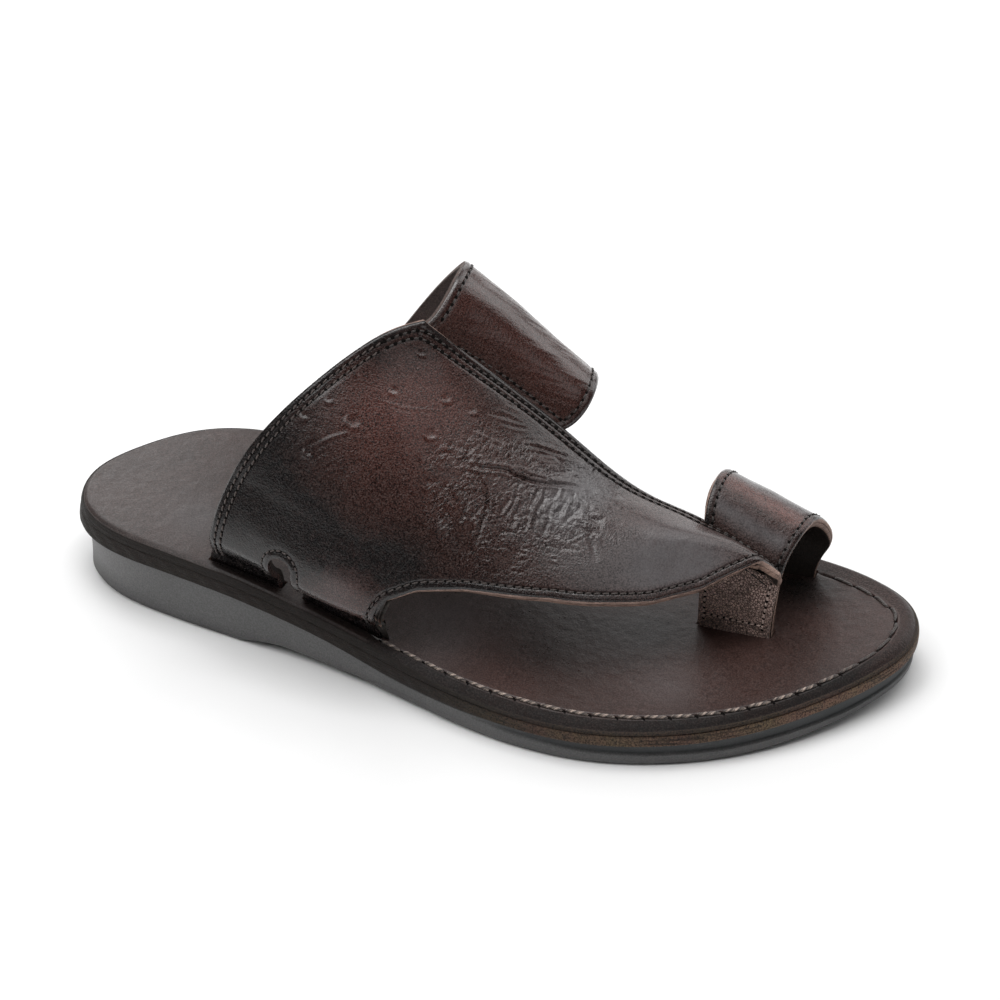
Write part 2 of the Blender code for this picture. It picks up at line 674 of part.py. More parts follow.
def build_upper():
    vamp = vamp_surface()
    band = band_surface()
    loop = loop_surface()

    u_tab = u_at_root(vamp, FRONT_TAB[1] * GX)
    us = list(np.linspace(0, u_tab, 17)) + list(u_tab + (1 - u_tab) * np.array([0.004, 0.02, 0.045, 0.08]))
    us += list(np.linspace(us[-1], 1.0, 24)[1:])
    rows, tip_v = [], 0.0
    for u in us:
        v0 = toe_edge_v(vamp, u) if u > u_tab else 0.0
        if u > 0.9:                       # the tip keeps its width to the end
            v0 = tip_v = max(v0, tip_v)
        t = np.linspace(0, 1, 17)
        rows.append(vamp.rib(u, v0 + (1 - v0) * t))
    upper = wall("upper", np.array(rows), VAMP_WALL, False)

    rows = [band.rib(u, np.linspace(0, 1, 30)) for u in np.linspace(0, 1, 15)]
    combine(upper, wall("instep_band", np.array(rows), BAND_WALL, False), "UNION")
    rows = [loop.rib(u, np.linspace(0, 1, 30)) for u in np.linspace(0, 1, 8)]
    combine(upper, wall("toe_loop", np.array(rows), LOOP_WALL, False), "UNION")

    x = (REAR_TAB[1] + FRONT_TAB[0]) / 2 * GX
    combine(upper, keyhole("outer_notch", x, 10.0, NOTCH_TOP, NOTCH_WIDTH, -70.0, -25.0), "DIFFERENCE")
    combine(upper, keyhole("inner_notch", BAND_NOTCH_X * GX, 10.0, NOTCH_TOP - 6, NOTCH_WIDTH, 20.0, 60.0), "DIFFERENCE")

    gap_x = NOTCH_WIDTH / 2
    cutters = [
        slot_cutter("slot_outer_rear", vamp, np.linspace(0, u_at_root(vamp, x - gap_x), 6), True, VAMP_WALL),
        slot_cutter("slot_outer_front", vamp, np.linspace(u_at_root(vamp, x + gap_x), u_tab, 6), True, VAMP_WALL),
        slot_cutter("slot_inner_rear", band, np.linspace(0, u_at_root(band, BAND_NOTCH_X * GX - gap_x, 1.0), 5), False, BAND_WALL),
        slot_cutter("slot_inner_front", band, np.linspace(u_at_root(band, BAND_NOTCH_X * GX + gap_x, 1.0), 1, 5), False, BAND_WALL),
        slot_cutter("slot_between_toes", loop, np.linspace(0, 1, 4), True, LOOP_WALL),
        slot_cutter("slot_big_toe", loop, np.linspace(0, 1, 4), False, LOOP_WALL),
    ]
    return upper, cutters


def main():
    for obj in list(bpy.data.objects):
        bpy.data.objects.remove(obj, do_unlink=True)
    place_origin()
    outsole = build_outsole()
    midsole = build_midsole()
    upper, cutters = build_upper()
    insole = build_insole(cutters)
    for name, obj in (("outsole", outsole), ("midsole", midsole), ("insole", insole), ("upper", upper)):
        finish_material(name, obj)


main()
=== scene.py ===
"""Looks for the toe strap sandal: fine meshes, leather, rubber, thread, light and
camera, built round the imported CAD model.

All shapes are worked out in millimetres from the back of the heel, as in the
part's source, and moved to the frame's origin when a mesh is made.
"""

import math

import bmesh
import bpy
import numpy as np
from mathutils import Matrix, Vector, noise


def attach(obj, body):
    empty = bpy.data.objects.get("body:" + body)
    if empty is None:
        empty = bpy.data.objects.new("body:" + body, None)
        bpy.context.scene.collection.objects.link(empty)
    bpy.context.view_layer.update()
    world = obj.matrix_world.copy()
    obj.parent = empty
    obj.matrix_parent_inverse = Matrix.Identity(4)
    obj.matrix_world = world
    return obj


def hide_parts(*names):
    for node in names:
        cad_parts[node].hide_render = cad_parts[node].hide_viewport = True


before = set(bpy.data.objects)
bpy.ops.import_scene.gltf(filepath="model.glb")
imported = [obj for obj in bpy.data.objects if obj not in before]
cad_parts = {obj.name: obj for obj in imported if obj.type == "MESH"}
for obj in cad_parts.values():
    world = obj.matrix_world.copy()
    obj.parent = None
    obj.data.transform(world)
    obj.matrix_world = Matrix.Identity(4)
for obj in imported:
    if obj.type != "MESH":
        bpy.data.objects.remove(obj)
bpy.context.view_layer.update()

# ------------------------------------------------------------ driving sizes
LENGTH = 278.3          # footbed, heel to toe
BALL_WIDTH = 109.4      # footbed, across the ball
INSTEP_HEIGHT = 93.0    # top of the instep arch over the footbed
HEEL_HEIGHT = 20.0      # rubber under the heel seat

MIDSOLE_THICK = 3.6
INSOLE_THICK = 3.8
VAMP_WALL = 3.0         # outer leather and lining together
BAND_WALL = 3.0
LOOP_WALL = 3.4
GAP = 0.3               # between neighbouring pieces
SLOT_PLAY = 0.35        # slot wall to strap
FAIRING = 220.0         # how stiffly the vamp's sections are evened out, mm^3

# the tables below are drawn for this base size and grow with the sizes above
GX = LENGTH / 278.3
GY = BALL_WIDTH / 109.4
GZ = INSTEP_HEIGHT / 93.0
GH = HEEL_HEIGHT / 20.0

# ----------------------------------------------------------- sole tables, mm
# footbed rim, once round from the back of the heel by the outer side
OUTLINE = (
    # place            x      y
    ("heel back",     -1.2,  -2.2),
    ("heel corner",    2.4, -19.0),
    ("heel outer",    14.0, -29.2),
    ("heel widest",   35.0, -35.4),
    ("waist rear",    64.0, -39.6),
    ("waist outer",   98.0, -43.7),
    ("waist front",  132.0, -51.9),
    ("ball rear",    162.0, -58.0),
    ("ball outer",   189.0, -58.5),
    ("little toe",   214.0, -51.8),
    ("fourth toe",   236.5, -39.5),
    ("third toe",    255.4, -23.0),
    ("second toe",   270.0,  -5.2),
    ("toe tip",      277.1,  11.2),
    ("big toe",      274.3,  27.8),
    ("big toe inner", 260.0, 40.6),
    ("big toe side", 236.8,  48.3),
    ("ball inner",   208.5,  50.9),
    ("ball rear in", 180.6,  48.0),
    ("waist front in", 150.5, 39.6),
    ("waist inner",  116.0,  33.2),
    ("waist rear in", 82.0,  34.8),
    ("heel inner",    49.0,  38.7),
    ("heel quarter",  24.0,  31.0),
    ("heel corner in", 7.4,  15.0),
)

# heights along the shoe: top face of the rubber, its underside, and how much
# thicker than MIDSOLE_THICK the midsole is there
SOLE_HEIGHTS = (
    # x      rubber_top  underside  thicker
    (-5.0,   19.8,       0.0,       1.3),
    (30.0,   20.6,       0.0,       1.1),
    (58.0,   19.6,       0.0,       0.7),
    (66.0,   18.8,       0.0,       0.6),
    (70.0,   18.2,       1.6,       0.5),
    (74.0,   17.6,       2.7,       0.4),
    (80.0,   16.6,       3.4,       0.3),
    (100.0,  13.0,       2.4,       0.3),
    (120.0,   9.6,       1.4,       0.8),
    (145.0,   8.1,       0.6,       0.4),
    (162.0,   7.9,       0.0,       0.0),
    (205.0,   8.0,       0.0,       0.0),
    (228.0,   8.6,       0.0,       0.0),
    (245.0,   9.5,       0.8,       0.0),
    (262.0,  10.9,       2.6,       0.0),
    (278.0,  12.5,       4.8,       0.0),
)

# side of each layer: how far it stands out from the footbed rim
SIDE = (
    # x      leather_foot  rubber_top  rubber_waist  rubber_foot
    (-1.2,   1.8,          -0.9,       -1.3,         -1.1),
    (12.0,   1.4,          -0.7,       -1.2,         -1.1),
    (40.0,   0.8,          -0.4,       -0.9,         -0.8),
    (75.0,   0.9,          -0.2,       -0.6,         -0.5),
    (120.0,  1.2,           0.8,        0.1,          0.4),
    (160.0,  1.4,           1.2,        0.4,          0.8),
    (255.0,  1.4,           1.1,        0.3,          0.6),
    (278.0,  1.4,           0.6,       -0.3,          0.0),
)
TREAD_BARS = (
    # first_x  pitch  count     bowed grooves across the heel and the forefoot
    (13.0,     9.6,   6),
    (165.0,    10.4,  9),
)
TREAD_WIDTH, TREAD_DEEP = 3.4, 1.8
ROLL_DROP = 2.2         # the forefoot rim is skived down by this
ROLL_WIDTH = 7.5
ROLL_START, ROLL_FULL = 112.0, 150.0

# ----------------------------------------------------- upper: strap sections
# Each row is one section of the outer surface of the vamp, from where it goes
# down through the footbed at the outer side to its edge on top of the foot.
VAMP_RIBS = (
    # slot        bend                  side                  flank                 shoulder              brow                  ridge
    ((54.5,-34.6), (57.0,-38.8,36.5),   (60.6,-37.8,55.0),   (70.2,-32.0,76.9),   (88.9,-20.0,98.3),   (105.5,-8.0,110.3),  (117.2,0.0,113.0)),
    ((79.5,-36.4), (79.0,-41.3,34.0),   (84.0,-42.4,51.0),   (97.0,-36.5,72.0),   (113.0,-22.5,90.0),  (128.0,-6.0,96.6),   (141.4,6.0,92.0)),
    ((91.0,-38.2), (91.0,-44.4,31.0),   (96.0,-45.6,47.0),   (109.0,-40.0,65.0),  (126.0,-25.0,80.5),  (144.0,-7.0,84.8),   (159.6,7.0,79.6)),
    ((116.5,-43.0),(114.8,-47.3,29.0),  (118.5,-47.6,40.0),  (126.0,-43.0,52.5),  (142.0,-29.0,68.0),  (160.0,-9.0,74.5),   (176.6,7.5,65.8)),
    ((131.0,-46.6),(128.5,-48.5,26.0),  (128.5,-46.6,37.0),  (134.0,-42.0,49.5),  (148.5,-31.0,61.5),  (166.0,-12.5,69.0),  (189.4,8.5,57.8)),
    ((149.0,-50.0),(147.0,-51.0,25.0),  (146.0,-48.0,35.0),  (150.0,-42.0,46.0),  (164.0,-29.5,57.5),  (181.5,-11.0,63.5),  (198.2,9.0,55.0)),
    ((178.0,-51.5),(176.5,-50.5,25.0),  (175.0,-47.0,34.0),  (176.5,-39.0,45.5),  (187.0,-25.0,54.0),  (198.0,-8.0,57.8),   (206.8,8.5,53.0)),
    ((204.0,-44.0),(203.0,-42.5,26.0),  (202.0,-36.0,35.0),  (202.5,-27.0,43.0),  (206.0,-15.0,50.0),  (211.5,-3.0,54.6),   (216.0,8.0,49.0)),
    ((222.0,-30.0),(220.5,-28.0,27.0),  (218.5,-22.5,34.0),  (217.0,-15.0,41.5),  (219.0,-7.5,47.8),   (223.0,0.0,50.2),    (225.5,7.5,44.5)),
    ((236.0,-14.0),(234.5,-13.0,28.5),  (232.0,-10.0,36.0),  (230.0,-6.0,43.5),   (229.4,-2.0,48.4),   (230.6,2.4,46.8),    (232.0,6.6,40.0)),
    ((240.0,-8.0), (239.5,-7.0,28.5),   (238.0,-4.0,34.5),   (236.6,-1.0,40.0),   (235.6,2.0,42.5),    (235.4,4.2,40.0),    (235.4,6.4,35.5)),
)
REAR_TAB = (54.5, 79.0)          # where the vamp goes down through the footbed
FRONT_TAB = (89.0, 116.5)
NOTCH_WIDTH, NOTCH_TOP = 8.4, 44.6
# free edge of the vamp over the small toes
TOE_EDGE = (
    # x      height over the floor
    (117.0,  21.0),
    (117.6,  33.0),
    (121.0,  39.0),
    (130.0,  43.2),
    (145.0,  45.4),
    (172.0,  46.2),
    (190.0,  44.8),
    (202.0,  43.4),
    (215.0,  43.6),
    (223.0,  46.2),
    (229.5,  47.6),
    (233.5,  44.6),
    (236.0,  37.0),
)

# sections of the instep band: it starts under the vamp (rib counts along
# VAMP_RIBS), shows from the vamp's edge, and goes down the inner side
BAND_TUCK = (0.80, 0.86, 0.92, 0.985)      # places along the vamp section
BAND_RIBS = (
    # rib   crest                 shoulder              wall                  flank                slot
    (0.06, (121.8,16.0,120.0),   (120.2,30.0,118.6),  (108.5,39.0,102.5),  (83.0,41.0,64.0),    (62.5,32.4)),
    (0.62, (137.6,17.0,107.0),   (136.4,31.0,106.0),  (126.0,39.5,90.0),   (102.0,40.5,56.0),   (82.0,29.6)),
    (1.36, (153.8,18.0,94.4),    (152.0,31.5,93.4),   (143.0,40.0,78.0),   (121.0,39.0,48.0),   (101.0,28.4)),
    (2.16, (167.6,18.0,84.4),    (165.0,31.5,83.6),   (157.5,40.0,68.5),   (138.0,38.5,41.0),   (118.5,28.6)),
)
BAND_NOTCH_X = 90.5

# sections of the big-toe loop, from its slot between the toes over the big
# toe to its slot by the inner rim
LOOP_RIBS = (
    # post            neck                 over                 top                  side                 hem                  slot
    ((209.8, 0.6),   (209.5,2.2,38.0),    (208.8,9.0,57.0),    (209.0,20.0,61.5),   (209.2,31.0,57.2),   (209.6,39.5,42.0),   (210.5,38.6)),
    ((222.0, 0.5),   (222.0,2.2,33.5),    (223.0,8.5,49.0),    (224.2,20.0,54.6),   (225.2,31.0,51.2),   (225.4,40.5,36.0),   (224.2,38.8)),
    ((234.0, 0.4),   (234.6,2.8,30.5),    (236.4,10.0,43.0),   (239.2,20.0,47.7),   (241.1,30.7,45.1),   (243.4,40.6,31.0),   (239.2,38.6)),
)


# ------------------------------------------------------------------- splines
def second_derivatives(t, y, periodic=False):
    """Cubic spline second derivatives at knots t, for each column of y."""
    n = len(t)
    a = np.zeros((n, n))
    r = np.zeros_like(y)
    h = np.diff(t)
    if periodic:
        hh = np.concatenate([h, [0.0]])
        m = n - 1                       # last knot repeats the first
        a = np.zeros((m, m))
        r = np.zeros((m,) + y.shape[1:])
        for i in range(m):
            h0, h1 = h[i - 1], h[i]
            a[i, i - 1] += h0 / 6
            a[i, i] += (h0 + h1) / 3
            a[i, (i + 1) % m] += h1 / 6
            r[i] = (y[i + 1] - y[i]) / h1 - (y[i] - y[i - 1 if i else m - 1]) / h0
        s = np.linalg.solve(a, r)
        return np.concatenate([s, s[:1]])
    a[0, 0] = a[-1, -1] = 1.0
    for i in range(1, n - 1):
        a[i, i - 1] = h[i - 1] / 6
        a[i, i] = (h[i - 1] + h[i]) / 3
        a[i, i + 1] = h[i] / 6
        r[i] = (y[i + 1] - y[i]) / h[i] - (y[i] - y[i - 1]) / h[i - 1]
    return np.linalg.solve(a, r)


def spline(t, y, x, periodic=False):
    """Cubic spline through (t, y) read at x; natural ends unless periodic."""
    t = np.asarray(t, float)
    y = np.asarray(y, float)
    flat = y.reshape(len(y), -1)
    s = second_derivatives(t, flat, periodic)
    x = np.atleast_1d(np.asarray(x, float))
    i = np.clip(np.searchsorted(t, x, side="right") - 1, 0, len(t) - 2)
    h = (t[i + 1] - t[i])[:, None]
    b = (x - t[i])[:, None] / h
    a = 1 - b
    out = (a * flat[i] + b * flat[i + 1]
           + ((a ** 3 - a) * s[i] + (b ** 3 - b) * s[i + 1]) * h * h / 6)
    return out.reshape((len(x),) + y.shape[1:])


def column(table, name_index, x, smooth=True):
    """Read one column of a table whose first number is x."""
    rows = np.array([[float(v) for v in row] for row in table])
    t = rows[:, 0] * GX
    if smooth:
        return spline(t, rows[:, name_index], np.clip(x, t[0], t[-1]))
    return np.interp(x, t, rows[:, name_index])


def soft_step(x, a, b):
    w = np.clip((np.asarray(x, float) - a) / (b - a), 0, 1)
    return w * w * (3 - 2 * w)


# -------------------------------------------------------------- sole heights
def rubber_top(x):
    return GH * column(SOLE_HEIGHTS, 1, x)


def underside(x):
    return column(SOLE_HEIGHTS, 2, x, smooth=False)


def midsole_bottom(x):
    return rubber_top(x) + GAP


def midsole_top(x):
    return midsole_bottom(x) + MIDSOLE_THICK + column(SOLE_HEIGHTS, 3, x)


def insole_bottom(x):
    return midsole_top(x) + GAP


def footbed(x):
    return insole_bottom(x) + INSOLE_THICK


# -------------------------------------------------------------- sole outline
def outline_dense(n=1600):
    pts = np.array([[x * GX, y * GY] for _, x, y in OUTLINE])
    loop = np.vstack([pts, pts[:1]])
    t = np.concatenate([[0], np.cumsum(np.linalg.norm(np.diff(loop, axis=0), axis=1))])
    c = spline(t, loop, np.linspace(0, t[-1], n, endpoint=False), periodic=True)
    d = np.roll(c, -1, 0) - np.roll(c, 1, 0)
    d /= np.linalg.norm(d, axis=1)[:, None]
    out = np.stack([d[:, 1], -d[:, 0]], axis=1)       # away from the shoe
    return c, out


def outline_stations(m):
    """Rim points and outward directions at m+1 stations for the outer side,
    then back by the inner side: 2m points once round, heel back first."""
    c, out = outline_dense()
    i0, i1 = int(np.argmin(c[:, 0])), int(np.argmax(c[:, 0]))
    c = np.roll(c, -i0, 0)
    out = np.roll(out, -i0, 0)
    i1 = (i1 - i0) % len(c)
    sides = []
    x0, x1 = c[0, 0], c[i1, 0]
    xs = x0 + (x1 - x0) * (1 - np.cos(np.pi * np.arange(m + 1) / m)) / 2
    for part, o in ((c[:i1 + 1], out[:i1 + 1]),
                    (np.vstack([c[i1:], c[:1]])[::-1], np.vstack([out[i1:], out[:1]])[::-1])):
        px = np.maximum.accumulate(part[:, 0])
        px = px + np.arange(len(px)) * 1e-9
        y = np.interp(xs, px, part[:, 1])
        nx = np.interp(xs, px, o[:, 0])
        ny = np.interp(xs, px, o[:, 1])
        sides.append((np.stack([xs, y], 1), np.stack([nx, ny], 1)))
    (pl, nl), (pm, nm) = sides
    p = np.vstack([pl, pm[-2:0:-1]])
    n = np.vstack([nl, nm[-2:0:-1]])
    n /= np.linalg.norm(n, axis=1)[:, None]
    return p, n


def rim_y(x, inner_side):
    """Rim ordinate at station x on the outer or inner side."""
    p, _ = outline_stations(60)
    half = p[:61] if not inner_side else np.vstack([p[:1], p[:60:-1], p[60:61]])
    return np.interp(x, half[:, 0], half[:, 1])


def knots(grid):
    """Mean chord lengths along the first axis of a grid of points."""
    d = np.linalg.norm(np.diff(grid, axis=0), axis=2).mean(axis=1)
    return np.concatenate([[0], np.cumsum(d)]) / d.sum()


def bending(t):
    """Bending energy matrix of a natural cubic spline over the knots t."""
    n = len(t)
    h = np.diff(t)
    q = np.zeros((n, n - 2))
    r = np.zeros((n - 2, n - 2))
    for i in range(1, n - 1):
        q[i - 1, i - 1] = 1 / h[i - 1]
        q[i, i - 1] = -1 / h[i - 1] - 1 / h[i]
        q[i + 1, i - 1] = 1 / h[i]
        r[i - 1, i - 1] = (h[i - 1] + h[i]) / 3
        if i < n - 2:
            r[i - 1, i] = r[i, i - 1] = h[i] / 6
    return q @ np.linalg.solve(r, q.T)


def fair(grid, stiffness=FAIRING):
    """Even out a grid of section points from row to row, the way a lath laid
    through them would.  Points slide freely along their own line and give
    way a little across it; the first and last sections hardly move."""
    grid = np.asarray(grid, float)
    n = len(grid)
    start = grid
    for _ in range(3):
        length = np.linalg.norm(np.diff(grid, axis=0), axis=2).mean(axis=1)
        energy = stiffness * bending(np.concatenate([[0], np.cumsum(length)]))
        new = np.empty_like(grid)
        for j in range(grid.shape[1]):
            tangent = np.gradient(grid[:, j], axis=0)
            tangent /= np.linalg.norm(tangent, axis=1)[:, None]
            a = np.kron(energy, np.eye(3))
            b = np.zeros(3 * n)
            for k in range(n):
                hold = np.eye(3) - (0.0 if k in (0, n - 1) else 0.92) * np.outer(tangent[k], tangent[k])
                hold *= 30.0 if k in (0, n - 1) else 1.0
                a[3 * k:3 * k + 3, 3 * k:3 * k + 3] += hold
                b[3 * k:3 * k + 3] = hold @ start[k, j]
            new[:, j] = np.linalg.solve(a, b).reshape(n, 3)
        grid = new
    return grid


class Surface:
    """Smooth surface through a grid of section points: u across the rows of
    the table, v along each row, both from 0 to 1."""

    def __init__(self, grid):
        self.grid = np.asarray(grid, float)
        self.tu = knots(self.grid)
        self.tv = knots(self.grid.transpose(1, 0, 2))

    def at(self, u, v):
        """Points for matching lists u and v (one point each)."""
        u = np.atleast_1d(np.asarray(u, float))
        v = np.atleast_1d(np.asarray(v, float))
        out = np.empty((len(u), 3))
        for k in range(len(u)):
            rows = spline(self.tu, self.grid, u[k:k + 1])[0]
            out[k] = spline(self.tv, rows, v[k:k + 1])[0]
        return out

    def rib(self, u, v):
        """All points v of the section at one u."""
        rows = spline(self.tu, self.grid, [u])[0]
        return spline(self.tv, rows, v)


def grow(p):
    """A table point (x, y, z) at the shoe's real sizes."""
    x, y, z = p
    foot = float(footbed(np.array([x * GX]))[0])
    return (x * GX, y * GY, foot + (z - foot) * GZ)


def rooted(xy):
    """Two points of a strap in its slot: bottom and top of the footbed."""
    x, y = xy[0] * GX, xy[1] * GY
    xs = np.array([x])
    return ((x, y, float(insole_bottom(xs)[0]) + 0.15), (x, y, float(footbed(xs)[0]) + 0.2))


def vamp_surface():
    return Surface(fair([[*rooted(r[0]), *[grow(p) for p in r[1:]]] for r in VAMP_RIBS]))


def under_vamp(vamp, rib, v, depth):
    """A point under the vamp's outer face, at a place counted in its ribs."""
    u = float(np.interp(rib, np.arange(len(vamp.tu)), vamp.tu))
    e = 0.01
    p, pu, pv = vamp.at([u, min(u + e, 1), u], [v, v, v - e])
    n = np.cross(pu - p, p - pv)
    return tuple(p - n / np.linalg.norm(n) * depth)


def band_surface():
    vamp = vamp_surface()
    rows = []
    for rib, *over, slot in BAND_RIBS:
        tuck = [under_vamp(vamp, rib, v, VAMP_WALL - 0.6) for v in BAND_TUCK]
        rows.append([*tuck, *[grow(p) for p in over], *rooted(slot)[::-1]])
    return Surface(rows)


def loop_surface():
    return Surface([[*rooted(r[0]), *[grow(p) for p in r[1:-1]], *rooted(r[-1])[::-1]] for r in LOOP_RIBS])


def toe_edge_v(surface, u, fine=240):
    """Where the section at u comes up through the free toe edge."""
    v = np.linspace(0, 1, fine)
    p = surface.rib(u, v)
    edge = np.interp(p[:, 0], [r[0] * GX for r in TOE_EDGE], [r[1] for r in TOE_EDGE])
    above = p[:, 2] - edge
    k = np.where((above[:-1] < 0) & (above[1:] >= 0))[0]
    if len(k) == 0:                       # the section only just reaches the edge
        return float(v[np.argmax(above)])
    k = k[-1]
    w = above[k] / (above[k] - above[k + 1])
    return float(v[k] + w * (v[k + 1] - v[k]))


def sheet_normals(g, flip):
    du = np.gradient(g, axis=0)
    dv = np.gradient(g, axis=1)
    n = np.cross(du, dv)
    n /= np.linalg.norm(n, axis=2)[:, :, None]
    return -n if flip else n




# ---------------------------------------------------------- fast surfaces
def basis(t, x):
    """Matrix that reads a spline over the knots t at x: basis @ values."""
    return spline(t, np.eye(len(t)), x)


def grid_of(s, us, vs):
    """Grid of points for all u against all v."""
    return np.einsum("ai,ijc,bj->abc", basis(s.tu, us), s.grid, basis(s.tv, vs))


def points_of(s, u, v):
    """Points for matching lists u and v."""
    return np.einsum("ki,ijc,kj->kc", basis(s.tu, u), s.grid, basis(s.tv, v))


def normals_of(s, u, v, e=0.004):
    """Outward normals for matching lists u and v."""
    u, v = np.asarray(u, float), np.asarray(v, float)
    du = points_of(s, np.clip(u + e, 0, 1), v) - points_of(s, np.clip(u - e, 0, 1), v)
    dv = points_of(s, u, np.clip(v + e, 0, 1)) - points_of(s, u, np.clip(v - e, 0, 1))
    n = np.cross(du, dv)
    return n / np.linalg.norm(n, axis=1)[:, None]


def resample(path, step=None, count=None):
    """Even points along a polyline of any dimension; the length is measured
    in the first three columns."""
    path = np.asarray(path, float)
    t = np.concatenate([[0], np.cumsum(np.linalg.norm(np.diff(path[:, :3], axis=0), axis=1))])
    keep = np.concatenate([[True], np.diff(t) > 1e-9])
    path, t = path[keep], t[keep]
    if count is None:
        count = max(2, int(round(t[-1] / step)) + 1)
    x = np.linspace(0, t[-1], count)
    return np.stack([np.interp(x, t, path[:, k]) for k in range(path.shape[1])], 1)


def along(table, steps=14):
    """Smooth line through a short list of points."""
    p = np.asarray(table, float)
    t = np.concatenate([[0], np.cumsum(np.linalg.norm(np.diff(p, axis=0), axis=1))])
    if len(p) == 2:
        return np.linspace(p[0], p[1], steps)
    return spline(t, p, np.linspace(0, t[-1], steps * (len(p) - 1)))


def line_distance(p, line, reach):
    """Distance of each point p to a polyline, and how far along it, 0 to 1.
    Points farther than reach from the line's box get a large number."""
    best = np.full(len(p), 1e6)
    place = np.zeros(len(p))
    lo, hi = line.min(0) - reach, line.max(0) + reach
    near = np.where(np.all((p > lo) & (p < hi), axis=1))[0]
    if len(near) == 0:
        return best, place
    q = p[near]
    b = np.full(len(near), 1e6)
    w = np.zeros(len(near))
    n = len(line) - 1
    for k in range(n):
        a, c = line[k], line[k + 1]
        ac = c - a
        s = np.clip(((q - a) @ ac) / max(ac @ ac, 1e-12), 0, 1)
        d = np.linalg.norm(q - (a + s[:, None] * ac), axis=1)
        m = d < b
        b[m] = d[m]
        w[m] = (k + s[m]) / n
    best[near] = b
    place[near] = w
    return best, place


# ------------------------------------------------------------------- meshes
ORIGIN = [0.0, 0.0]


def place_origin():
    """Under the middle of the leather rim's box, as in the CAD."""
    p, n = outline_stations(60)
    q = p + n * column(SIDE, 1, p[:, 0])[:, None]
    ORIGIN[0] = float(q[:, 0].min() + q[:, 0].max()) / 2
    ORIGIN[1] = float(q[:, 1].min() + q[:, 1].max()) / 2


def to_frame(p):
    """Millimetres from the heel to metres in the shared frame."""
    p = np.asarray(p, float)
    return (p - np.array([ORIGIN[0], ORIGIN[1], 0.0])) / 1000


def new_object(name, verts, faces, materials, face_materials=None, attributes=None, smooth=True, sharp=None):
    mesh = bpy.data.meshes.new(name)
    mesh.from_pydata(to_frame(verts).tolist(), [], faces)
    for m in materials:
        mesh.materials.append(m)
    if face_materials is not None:
        mesh.polygons.foreach_set("material_index", np.asarray(face_materials, np.int32))
    if attributes:
        for key, values in attributes.items():
            a = mesh.attributes.new(key, "FLOAT", "POINT")
            a.data.foreach_set("value", np.asarray(values, np.float32))
    if smooth:
        mesh.shade_smooth()
    if sharp:
        mesh.set_sharp_from_angle(angle=math.radians(sharp))
    obj = bpy.data.objects.new(name, mesh)
    bpy.context.scene.collection.objects.link(obj)
    return obj


def set_attribute(obj, key, values):
    mesh = obj.data
    a = mesh.attributes.get(key) or mesh.attributes.new(key, "FLOAT", "POINT")
    a.data.foreach_set("value", np.asarray(values, np.float32))


def positions(obj):
    """Vertex places of an object in millimetres from the heel."""
    co = np.empty(len(obj.data.vertices) * 3)
    obj.data.vertices.foreach_get("co", co)
    return co.reshape(-1, 3) * 1000 + np.array([ORIGIN[0], ORIGIN[1], 0.0])


def cut(obj, cutters):
    """Take the cutters out of obj and leave a plain mesh."""
    for c in cutters:
        mod = obj.modifiers.new(c.name, "BOOLEAN")
        mod.operation = "DIFFERENCE"
        mod.solver = "EXACT"
        mod.object = c
    bpy.context.view_layer.update()
    dg = bpy.context.evaluated_depsgraph_get()
    mesh = bpy.data.meshes.new_from_object(obj.evaluated_get(dg))
    obj.modifiers.clear()
    old = obj.data
    obj.data = mesh
    bpy.data.meshes.remove(old)
    for c in cutters:
        data = c.data
        bpy.data.objects.remove(c, do_unlink=True)
        bpy.data.meshes.remove(data)
    return obj


